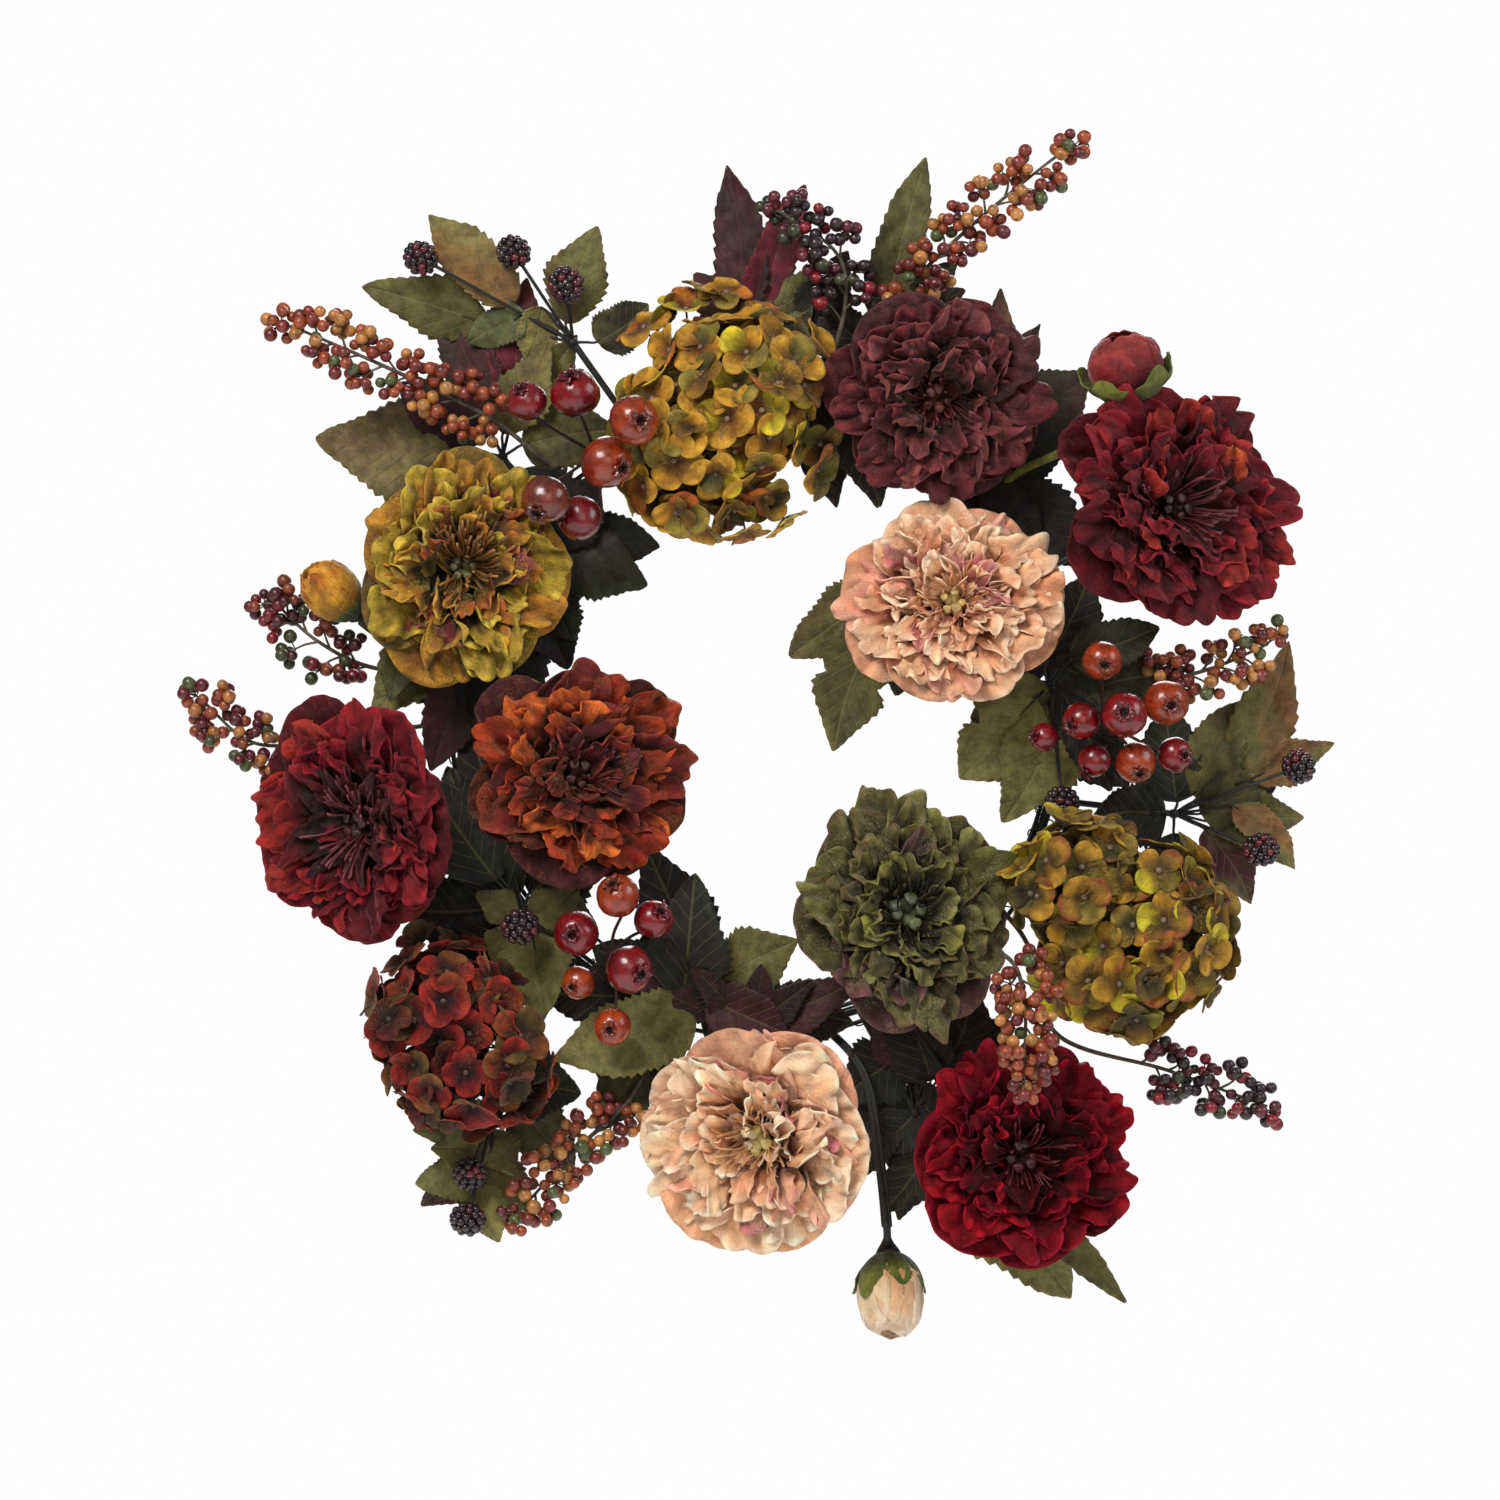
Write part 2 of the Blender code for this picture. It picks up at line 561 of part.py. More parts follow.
# ---------------------------------------------------------------- berry sprays
SIDE_SHARE = 0.72       # share of the side offset used, so that clusters sit on the stem


def along_stem(points, share):
    """The point at a share of the stem's length, and the stem's direction there."""
    lengths = [0.0]
    for a, b in zip(points, points[1:]):
        lengths.append(lengths[-1] + (b - a).length)
    want = share * lengths[-1]
    i = next(i for i, end in enumerate(lengths[1:]) if want <= end + 1e-9)
    a, b = points[i], points[i + 1]
    part = (want - lengths[i]) / (lengths[i + 1] - lengths[i])
    return a.lerp(b, part), (b - a).normalized()


def spray(name, angle, knots, clusters):
    tie = foot(angle)
    points = [tie] + [place(*k) for k in knots]
    pieces = [tube(points, [SPRAY_R] * len(knots) + [SPRAY_R * 0.8], resolution=0)]
    for share, side, ahead, radius in clusters:
        point, along = along_stem(points, share)
        across = along.cross(Vector((0, -1, 0))).normalized()
        offset = across * (side * SIDE_SHARE) + Vector((0, -ahead, 0))
        pieces.append(ball(point + offset * MM, (radius, radius * 0.8, radius), 5, 4))
    finish_piece(fuse(pieces), name, FINISH_OF.get(name, "berry_orange"), tie)


for key, spec in SPRAYS.items():
    spray(key, *spec)


# ---------------------------------------------------------------- hips, brambles, leaves
def fork(tie, hub, hub_r):
    """The shared stem of a pick and the knob where its twigs part."""
    points = [tie, tie.lerp(hub, 0.5) + forward(2), hub]
    return [tube(points, [STEM_R] * 3), ball(hub, (hub_r, hub_r, hub_r), 5, 4)]


def twig(start, middle, end):
    return tube([start, middle, end], [TWIG_R] * 3, resolution=0)


def fruit_on_twig(hub, x, y, z, radius, bow, height):
    """A fruit and its twig: bow is the twig's forward bend, height a share of radius."""
    centre = place(x, y, z)
    return [twig(hub, hub.lerp(centre, 0.5) + forward(bow), centre),
            ball(centre, (radius, radius, radius * height), 7, 5)]


def leaf_on_twig(hub, ends, width):
    """A leaf whose twig carries on as its rib, a little in front of mid thickness."""
    base, tip = place(*ends[:3]), place(*ends[3:])
    rise = forward(0.62 * LEAF_T)
    return [twig(hub, base + rise, base.lerp(tip, 0.33) + rise),
            leaf_plate(base, tip, width)]


def hips(name, angle, split, fruit):
    tie, hub = foot(angle), place(*split)
    pieces = fork(tie, hub, 3.4)
    for hip in fruit:
        pieces += fruit_on_twig(hub, *hip, bow=-3, height=0.95)
    finish_piece(fuse(pieces), name, "hip", tie)


def pick(name, angle, split, fruit, leaves, finish):
    tie, hub = foot(angle), place(*split)
    pieces = fork(tie, hub, 2.6)
    for bramble in fruit:
        pieces += fruit_on_twig(hub, *bramble, bow=1, height=1.1)
    for *ends, width in leaves:
        pieces += leaf_on_twig(hub, ends, width)
    finish_piece(fuse(pieces), name, finish, tie)


for key, spec in HIPS.items():
    hips(key, *spec)

for key, spec in BRAMBLES.items():
    pick(key, *spec, finish="bramble")

for key, (angle, split, leaves) in LEAVES.items():
    pick(key, angle, split, (), leaves, FINISH_OF.get(key, "leaf_olive"))
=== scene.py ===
# A wreath of fabric peonies, hydrangeas, buds, hips, berries and leaves tied to three ring rods.
# The ring stands upright in the xz plane: +x is right, +z is up and the flowers face -y.
import math
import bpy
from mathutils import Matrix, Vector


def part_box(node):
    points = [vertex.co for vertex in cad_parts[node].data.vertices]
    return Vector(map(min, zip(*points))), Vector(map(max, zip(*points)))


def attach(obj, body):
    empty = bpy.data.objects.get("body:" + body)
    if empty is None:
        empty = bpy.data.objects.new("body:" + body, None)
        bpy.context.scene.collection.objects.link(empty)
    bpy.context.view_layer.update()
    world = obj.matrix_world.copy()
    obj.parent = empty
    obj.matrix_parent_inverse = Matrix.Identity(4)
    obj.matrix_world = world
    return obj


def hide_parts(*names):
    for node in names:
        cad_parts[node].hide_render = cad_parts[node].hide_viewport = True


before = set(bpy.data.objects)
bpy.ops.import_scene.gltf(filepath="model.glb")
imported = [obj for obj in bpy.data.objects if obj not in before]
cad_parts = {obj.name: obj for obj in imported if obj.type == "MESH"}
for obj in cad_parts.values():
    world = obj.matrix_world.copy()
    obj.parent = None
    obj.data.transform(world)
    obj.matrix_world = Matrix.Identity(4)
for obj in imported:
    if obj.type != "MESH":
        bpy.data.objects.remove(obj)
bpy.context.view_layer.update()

import zlib
from types import SimpleNamespace

import bpy
import numpy as np
from mathutils import Matrix

PI = math.pi
WHITE = (1, 1, 1)

# ------------------------------------------------------------------ dimensions
# Pieces are laid out in millimetres from the centre of the ring; metres() brings them
# into the row frame. The ring itself is measured from its CAD nodes.


def box_size(node, axis):
    low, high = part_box(node)
    return 1000 * (high[axis] - low[axis])


def box_middle(node, axis):
    low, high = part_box(node)
    return 1000 * (low[axis] + high[axis]) / 2


RING_HEIGHT = box_middle("ring_rod_main", 2)  # the ring's centre in the row frame
ROD_Y = box_middle("ring_rod_main", 1)  # the rods lie in this plane
MAIN_ROD = box_size("ring_rod_main", 1)  # rod diameters
SIDE_ROD = box_size("ring_rod_inner", 1)
RING_RADIUS = box_size("ring_rod_main", 2) / 2 - MAIN_ROD / 2
INNER_RADIUS = box_size("ring_rod_inner", 2) / 2 - SIDE_ROD / 2
OUTER_RADIUS = box_size("ring_rod_outer", 2) / 2 - SIDE_ROD / 2
FOOT_Y = -8.6  # where stems are tied on, in front of the rods
STEM = 1.7  # radius of a taped stem


def cad_vertices(node):
    """The vertices of a CAD node, in mm from the centre of the ring."""
    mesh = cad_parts[node].data
    points = np.empty(len(mesh.vertices) * 3, np.float32)
    mesh.vertices.foreach_get("co", points)
    return points.reshape(-1, 3).astype(float) * 1000 - np.array((0, 0, RING_HEIGHT))


def cad_points(node):
    """The distinct vertices of a CAD node."""
    return np.unique(np.round(cad_vertices(node), 3), axis=0)


def metres(points):
    return (np.asarray(points, float) + np.array((0, 0, RING_HEIGHT))) * 0.001


def foot(degrees):
    """The point on the main rod where a stem is tied."""
    angle = math.radians(degrees)
    return np.array((RING_RADIUS * math.cos(angle), FOOT_Y, RING_RADIUS * math.sin(angle)))


def unit(vector):
    vector = np.asarray(vector, float)
    return vector / np.linalg.norm(vector)


def facing(direction):
    """Rows x, y, z of a frame whose z looks along the direction and whose x is level."""
    z = unit(direction)
    x = np.array((1.0, 0, 0))
    if abs(z[0]) > 0.95:
        x = np.array((0, 0, 1.0))
    x = unit(x - z * x.dot(z))
    return np.array((x, np.cross(z, x), z))


def spokes(axes, azimuth, stretch=(1, 1)):
    """The outward and the sideways direction at an azimuth about the z row of axes."""
    cos, sin = math.cos(azimuth), math.sin(azimuth)
    outward = cos * axes[0] * stretch[0] + sin * axes[1] * stretch[1]
    return outward, -sin * axes[0] + cos * axes[1]


def seeded(name):
    return np.random.default_rng(zlib.crc32(name.encode()))


def ease(low, high, x):
    """A smooth step from 0 at low to 1 at high."""
    t = np.clip((x - low) / (high - low), 0, 1)
    return t * t * (3 - 2 * t)


def lengths_along(path):
    """The length travelled at each point of the path."""
    return np.concatenate(([0], np.cumsum(np.linalg.norm(np.diff(path, axis=0), axis=1))))


def lengths_left(path):
    """The length still to go at each point of the path."""
    steps = np.linalg.norm(np.diff(path, axis=0), axis=1)
    return np.concatenate((steps[::-1].cumsum()[::-1], [0]))


def smooth_path(points, count):
    """A Catmull-Rom curve through the points, count samples at about equal spacing."""
    p = np.asarray(points, float)
    knots = np.vstack((2 * p[0] - p[1], p, 2 * p[-1] - p[-2]))
    t = np.linspace(0, 1, 12, endpoint=False)[:, None]
    curve = []
    for i in range(len(p) - 1):
        a, b, c, d = knots[i:i + 4]
        curve.append(0.5 * (2 * b + (c - a) * t + (2 * a - 5 * b + 4 * c - d) * t ** 2
                            + (3 * b - a - 3 * c + d) * t ** 3))
    curve = np.vstack(curve + [p[-1:]])
    travelled = lengths_along(curve)
    wanted = np.linspace(0, travelled[-1], count)
    return np.stack([np.interp(wanted, travelled, curve[:, k]) for k in range(3)], -1)


# ------------------------------------------------------------------ colours
def lin(r, g, b):
    """A display colour as linear light."""
    c = np.array((r, g, b), float)
    return np.where(c <= 0.04045, c / 12.92, ((c + 0.055) / 1.055) ** 2.4)


def tints(*rows):
    """Weighted colours for pick(), from rows of weight, r, g, b."""
    return [(row[0], lin(*row[1:])) for row in rows]


def look(*colours):
    """A petal's base, body and tip colours, and maybe one for its edge; the base colours are partly the
    petal's own colour and partly painted shade at its root.
    """
    return [lin(*colour) for colour in colours]


def shade(rng, colour, spread=0.12, hue=0.03):
    """The colour a little lighter or darker, and a little off in hue."""
    c = np.asarray(colour, float) * (1 + rng.uniform(-spread, spread))
    return np.clip(c * (1 + rng.uniform(-hue, hue, 3)), 0, 1)


def pick(rng, choices):
    """One of ((weight, value), ...)."""
    weights = np.array([choice[0] for choice in choices], float)
    return choices[int(rng.choice(len(choices), p=weights / weights.sum()))][1]


# how deep each flower's dye is, on top of its petals' own colours
TONE = {
    "peony_gold": (.88, .80, .76), "peony_burgundy": (.84, .86, .86),
    "peony_red_right": (.60, .48, .62), "peony_peach_top": (.81, .71, .65),
    "peony_red_left": (.66, .62, .72), "peony_orange": (.84, .56, .48),
    "peony_olive": (.78, .72, .58), "peony_peach_bottom": (.88, .83, .82),
    "peony_crimson": (.67, .28, .52), "hydrangea_yellow": (.91, .92, .84),
    "hydrangea_olive": (.83, .81, .70), "hydrangea_bronze": (.63, .50, .48),
    "hips_upper_left": (.58, .46, .50), "hips_right": (.70, .52, .58),
    "hips_lower_left": (.70, .55, .60), "bud_red": (.86, .82, .78),
    "bud_yellow": (1.16, 1.10, 1.06), "bud_cream": (.87, .86, .83)}


# ------------------------------------------------------------------ mesh building
def icosphere(levels):
    g = (1 + 5 ** 0.5) / 2
    points = [(-1, g, 0), (1, g, 0), (-1, -g, 0), (1, -g, 0), (0, -1, g), (0, 1, g),
              (0, -1, -g), (0, 1, -g), (g, 0, -1), (g, 0, 1), (-g, 0, -1), (-g, 0, 1)]
    points = [unit(p) for p in points]
    faces = [(0, 11, 5), (0, 5, 1), (0, 1, 7), (0, 7, 10), (0, 10, 11), (1, 5, 9), (5, 11, 4),
             (11, 10, 2), (10, 7, 6), (7, 1, 8), (3, 9, 4), (3, 4, 2), (3, 2, 6), (3, 6, 8),
             (3, 8, 9), (4, 9, 5), (2, 4, 11), (6, 2, 10), (8, 6, 7), (9, 8, 1)]
    for _ in range(levels):
        middles, finer = {}, []

        def middle(a, b):
            key = (min(a, b), max(a, b))
            if key not in middles:
                middles[key] = len(points)
                points.append(unit(points[a] + points[b]))
            return middles[key]

        for a, b, c in faces:
            x, y, z = middle(a, b), middle(b, c), middle(c, a)
            finer += [(a, x, z), (b, y, x), (c, z, y), (x, y, z)]
        faces = finer
    return np.array(points), np.array(faces)


COARSE_BALL, FINE_BALL = icosphere(1), icosphere(2)


def round_faces(rows, sides, closed):
    """Faces round rows of points: a closed loop, or a wall with a point capping each end."""
    here = np.arange(rows * sides).reshape(rows, sides)
    beside = np.roll(here, -1, axis=1)
    if closed:
        corners = (here, beside, np.roll(beside, -1, 0), np.roll(here, -1, 0))
        return np.stack(corners, -1).reshape(-1, 4)
    wall = np.stack((here[:-1], beside[:-1], beside[1:], here[1:]), -1).reshape(-1, 4)
    pole, blank = np.full(sides, rows * sides), np.full(sides, -1)
    first = np.stack((beside[0], here[0], pole, blank), -1)
    last = np.stack((here[-1], beside[-1], pole + 1, blank), -1)
    return np.concatenate((wall, first, last))


class Shell:
    """Collects closed shells of quads and triangles with a colour and a coordinate per vertex."""

    def __init__(self):
        self.points, self.colours, self.coords = [], [], []
        self.faces, self.slots, self.smooth = [], [], []
        self.count = 0

    def add(self, points, faces, colour, coord, mat=0, smooth=True):
        points = np.asarray(points, float).reshape(-1, 3)
        faces = np.asarray(faces, int)
        if faces.shape[1] == 3:
            faces = np.hstack((faces, np.full((len(faces), 1), -1)))
        self.points.append(points)
        self.colours.append(np.broadcast_to(np.asarray(colour, float), (len(points), 3)))
        self.coords.append(np.broadcast_to(np.asarray(coord, float), (len(points), 3)))
        self.faces.append(np.where(faces >= 0, faces + self.count, -1))
        self.slots.append(np.full(len(faces), mat))
        self.smooth.append(np.broadcast_to(np.asarray(smooth, bool), (len(faces),)))
        self.count += len(points)

    def sheet(self, grid, colour, coord, thick=0.5, mat=0):
        """A thin closed sheet round a grid of points."""
        rows, columns = grid.shape[:2]
        normal = np.cross(np.gradient(grid, axis=0), np.gradient(grid, axis=1))
        normal /= np.maximum(np.linalg.norm(normal, axis=2, keepdims=True), 1e-9)
        half = normal * (thick / 2)
        points = np.concatenate(((grid + half).reshape(-1, 3), (grid - half).reshape(-1, 3)))
        side = rows * columns
        i = np.arange(side).reshape(rows, columns)
        top = np.stack((i[:-1, :-1], i[1:, :-1], i[1:, 1:], i[:-1, 1:]), -1).reshape(-1, 4)
        loop = np.concatenate((i[:-1, 0], i[-1, :-1], i[:0:-1, -1], i[0, :0:-1]))
        following = np.roll(loop, -1)
        rim = np.stack((following, loop, loop + side, following + side), -1)
        faces = np.concatenate((top, top[:, ::-1] + side, rim))
        smooth = np.ones(len(faces), bool)
        smooth[2 * len(top):] = False
        colour, coord = (np.broadcast_to(np.asarray(k, float), (rows, columns, 3)).reshape(-1, 3)
                         for k in (colour, coord))
        self.add(points, faces, np.concatenate((colour, colour)), np.concatenate((coord, coord)),
                 mat, smooth)

    def tube(self, path, radii, sides, colour=WHITE, mat=0, tag=0.0, closed=False):
        """A round tube with domed ends; its coord is (turn, length in mm, tag)."""
        path = np.asarray(path, float)
        rows = len(path)
        radii = np.broadcast_to(np.asarray(radii, float), (rows,))
        if closed:
            heading = np.roll(path, -1, 0) - np.roll(path, 1, 0)
        else:
            heading = np.gradient(path, axis=0)
        heading /= np.maximum(np.linalg.norm(heading, axis=1, keepdims=True), 1e-9)
        x = np.cross(heading[0], (0.31, -0.87, 0.38))
        frames = []
        for ahead in heading:
            x = x - ahead * x.dot(ahead)
            x = x / max(np.linalg.norm(x), 1e-9)
            frames.append((x, np.cross(ahead, x)))
        frames = np.array(frames)
        turn = np.arange(sides) * 2 * PI / sides
        circle = (frames[:, 0, None, :] * np.cos(turn)[None, :, None]
                  + frames[:, 1, None, :] * np.sin(turn)[None, :, None])
        points = (path[:, None, :] + circle * radii[:, None, None]).reshape(-1, 3)
        coord = (turn[None, :] / (2 * PI), lengths_along(path)[:, None], tag)
        coord = np.stack(np.broadcast_arrays(*coord), -1).reshape(-1, 3)
        colour = np.asarray(colour, float)
        if colour.ndim == 2:
            colour = np.repeat(colour, sides, axis=0)
        colour = np.broadcast_to(colour, (len(points), 3))
        if not closed:
            ends = np.array((path[0] - heading[0] * radii[0] * 0.5,
                             path[-1] + heading[-1] * radii[-1] * 0.7))
            points = np.concatenate((points, ends))
            coord = np.concatenate((coord, coord[[0, -1]]))
            colour = np.concatenate((colour, colour[[0, -1]]))
        self.add(points, round_faces(rows, sides, closed), colour, coord, mat)

    def lathe(self, profile, place, axes, colour, sides, mat=0, tag=0.0, wobble=None):
        """Turns the profile (radius, height) from pole to pole about the z row of axes."""
        profile = np.asarray(profile, float)
        angle = np.arange(sides) * 2 * PI / sides
        radius = profile[1:-1, 0][:, None] * np.ones(sides)[None, :]
        height = profile[1:-1, 1][:, None] * np.ones(sides)[None, :]
        if wobble is not None:
            radius = radius * wobble(angle[None, :], height)
        local = np.stack((radius * np.cos(angle), radius * np.sin(angle), height), -1)
        poles = [[0, 0, profile[0, 1]], [0, 0, profile[-1, 1]]]
        local = np.concatenate((local.reshape(-1, 3), poles))
        up = (local[:, 2] - profile[:, 1].min()) / np.ptp(profile[:, 1])
        turn = np.arctan2(local[:, 1], local[:, 0]) / (2 * PI)
        coord = np.stack((turn, up, np.full(len(up), tag)), -1)
        self.add(local @ np.asarray(axes) + np.asarray(place),
                 round_faces(len(profile) - 2, sides, False), colour(local, up), coord, mat)

    def ball(self, centre, radii, colour=WHITE, axes=np.eye(3), mat=0, tag=0.0, fine=True,
             dark_tip=0.0):
        sphere, faces = FINE_BALL if fine else COARSE_BALL
        points = (sphere * np.asarray(radii, float)) @ axes + centre
        c = np.broadcast_to(np.asarray(colour, float), (len(sphere), 3)).copy()
        c *= (1 - dark_tip * ease(0.93, 0.985, sphere[:, 2]))[:, None]
        coord = np.stack((sphere[:, 0], sphere[:, 2], np.full(len(sphere), tag)), -1)
        self.add(points, faces, c, coord, mat)

    def build(self, name, materials, body, node, slot):
        points = metres(np.concatenate(self.points))
        faces = np.concatenate(self.faces)
        keep = faces >= 0
        sizes = keep.sum(1)
        starts = np.concatenate(([0], np.cumsum(sizes)[:-1])).astype(np.int32)
        slots = np.concatenate(self.slots).astype(np.int32)
        mesh = bpy.data.meshes.new(name)
        mesh.vertices.add(len(points))
        mesh.vertices.foreach_set("co", points.astype(np.float32).ravel())
        mesh.loops.add(int(sizes.sum()))
        mesh.loops.foreach_set("vertex_index", faces[keep].astype(np.int32))
        mesh.polygons.add(len(faces))
        mesh.polygons.foreach_set("loop_start", starts)
        mesh.polygons.foreach_set("material_index", slots)
        mesh.update(calc_edges=True)
        mesh.polygons.foreach_set("use_smooth", np.concatenate(self.smooth))
        c = np.clip(np.concatenate(self.colours) * TONE.get(node, WHITE), 0, 1)
        c = np.hstack((c, np.ones((len(c), 1))))
        colour = mesh.attributes.new("Col", "FLOAT_COLOR", "POINT")
        colour.data.foreach_set("color", c.astype(np.float32).ravel())
        coord = mesh.attributes.new("Pc", "FLOAT_VECTOR", "POINT")
        coord.data.foreach_set("vector", np.concatenate(self.coords).astype(np.float32).ravel())
        for material in materials:
            mesh.materials.append(material)
        mesh.update()
        ob = bpy.data.objects.new(name, mesh)
        bpy.context.scene.collection.objects.link(ob)
        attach(ob, body)
        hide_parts(node)


# ------------------------------------------------------------------ petals and leaves
def crumple(rng, across, along, count, wavelengths, lean):
    """The sum of count waves at random angles of up to lean."""
    total = 0.0
    for _ in range(count):
        wavelength = rng.uniform(*wavelengths)
        turn = rng.uniform(-lean, lean)
        total = total + np.sin(2 * PI / wavelength * (across * np.cos(turn) + along * np.sin(turn))
                               + rng.uniform(0, 2 * PI))
    return total


def petal(shell, place, axes, azimuth, length, width, start, end, rng, colours, r0=4.0, h0=0.0,
          curl=0.0, cup=0.5, ruffle=3.0, waves=2.4, notch=0.05, teeth=3.0, twist=0.0, lean=0.0,
          thick=0.5, rows=16, columns=14, waist=0.30, point=0.0, tips=0.6, edge=None, mat=0,
          stretch=(1, 1), pleat=0.35, pucker=0.0, deep=0.30, frill=0.0, folds=8.0, bright=0.0):
    """A petal that leaves the flower's axis at start and ends at end (degrees from the axis).

    It begins r0 out and h0 up. Its margin is cut into rounded lobes (teeth of them), each
    puffed up between the folds that part them. Its colour carries painted shade at the root
    (deep) and in the folds, and painted highlight on the lobes and the rim (bright).
    """
    s = np.linspace(0, 1, rows)[:, None]
    v = np.linspace(-1, 1, columns)[None, :]
    phase = rng.uniform(0, 2 * PI, 6)

    # outline: the outer part of the blade is half a disc, the inner part a wedge
    disc = 0.52
    in_disc = s > disc
    out = np.clip((s - disc) / (1 - disc), 0, 1)
    wedge = waist + (1 - waist) * np.sin(PI / 2 * np.clip(s / disc, 0, 1)) ** 1.1
    across = v * np.where(in_disc, np.sqrt(1 - out * out / 2), wedge) * (1 - 0.62 * point * out)
    round_end = disc + (1 - disc) * out * np.sqrt(1 - v * v * (0.5 + 0.35 * point))
    along = np.where(in_disc, round_end, s + 0 * v)
    around = np.arctan2(across, (along - disc) / (1 - disc) + 1e-9)
    lobe = teeth * around + phase[0] + 0.35 * np.sin(2 * around + phase[1])
    lobe = np.abs(np.sin(lobe)) ** 0.6
    margin = np.where(in_disc, np.sqrt(out * out + v * v * (1 - out * out)),
                      np.abs(v) * (s / disc))
    margin = np.clip(margin, 0, 1)
    cuts = 1.6 * (1 - lobe) + 0.5 * np.sin(2.1 * around + phase[2])
    shrink = 1 - notch * cuts * margin ** 2
    across = across * shrink
    along = np.where(in_disc, disc + (along - disc) * shrink, along)

    # profile: radius, height and lean from the flower's axis along the mid line
    t = np.linspace(0, 1.2, 64)
    first, last = math.radians(start), math.radians(end)
    angle = first + (last - first) * t + curl * np.clip((t - 0.62) / 0.38, 0, 1.6) ** 2
    middle = (angle[1:] + angle[:-1]) / 2
    dt = t[1] - t[0]
    radius = r0 + length * np.concatenate(([0], np.cumsum(np.sin(middle)) * dt))
    height = h0 + length * np.concatenate(([0], np.cumsum(np.cos(middle)) * dt))
    radius, height = np.interp(along, t, radius), np.interp(along, t, height)
    angle = np.interp(along, t, angle)

    # relief: x across the blade, y off its surface
    c = cup * (1.15 - 0.75 * s) + 1e-3 if cup > 0 else cup * (0.7 + 0.3 * s)
    x = width * np.sin(across * c) / c
    y = width * (1 - np.cos(across * c)) / c
    y = y + ruffle * margin ** 1.6 * (0.9 * (lobe - 0.55) + 0.75 * np.sin(teeth * around + phase[4])
                                      + 0.25 * np.sin(waves * 3 * around + phase[3]))
    y = y + 0.35 * ruffle * s * np.sin(1.3 * v + phase[5] + 2.0 * s)
    crimp = np.sin(folds * around + phase[5] + 0.8 * np.sin(3 * around + phase[1])) * margin ** 3
    y = y + frill * crimp
    y = (y + pleat * np.sin(across * 8.5 + phase[4]) * np.sin(PI * np.clip(s * 1.1, 0, 1))
         + 0.45 * pleat * np.sin(across * 17 + phase[5]) * s)
    crush = 0.0
    if pucker:
        crush = crumple(rng, across * width, along * length, 5, (6.5, 15), 1.1) / 2.2
        y = y + pucker * crush * s ** 0.6
    g = twist * s
    x, y = x * np.cos(g) - y * np.sin(g), x * np.sin(g) + y * np.cos(g)
    x = x + lean * length * s ** 2
    radius = radius - np.cos(angle) * y
    height = height + np.sin(angle) * y
    cos, sin = math.cos(azimuth), math.sin(azimuth)
    grid = np.stack(((radius * cos - x * sin) * stretch[0], (radius * sin + x * cos) * stretch[1],
                     height), -1)
    grid = grid @ axes + place

    # colour: base, body and tip run into each other; the darkening at the root and in the folds is
    # painted shade, the lightening on lobe crests and rims painted highlight
    base, body, tip = (np.asarray(colour) for colour in colours)
    soft = 0.10 * np.sin(3.1 * v + phase[0] + 4 * s) + 0.08 * np.sin(7 * v + phase[5])
    mix = ease(0.02, 0.62, s + 0 * v + soft * 0.5)[..., None]
    col = base * (1 - mix) + body * mix
    mix = (ease(0.62, 1.04, s + 0.18 * np.abs(v) ** 2 + soft) * tips)[..., None]
    col = col * (1 - mix) + tip * mix
    outer = np.maximum(s * 0.9, margin)
    if edge is not None:
        mix = (ease(0.88, 1.0, outer) * 0.7)[..., None]
        col = col * (1 - mix) + np.asarray(edge) * mix
    # fold: painted shade in the valleys of the lobes, crumples and frill, painted highlight on their
    # crests; bright adds a painted highlight at the rim
    fold = (1 + 0.55 * (lobe - 0.62) * s * min(1.0, 12 * notch) + 0.18 * crush
            + 0.22 * crimp * min(1.0, frill))
    fold = fold + bright * ease(0.74, 1.0, outer)
    # root: painted shade towards the petal's root, as dark as deep at the root itself
    root = (deep + (1 - deep) * ease(0.12, 0.80, s + 0 * v))[..., None]
    col = col * root * np.clip(fold, 0.35, 1.75)[..., None]
    tag = rng.uniform(0, 50)
    coord = np.stack(np.broadcast_arrays(across * width / 10, along * length / 10, tag), -1)
    shell.sheet(grid, col, coord, thick, mat)


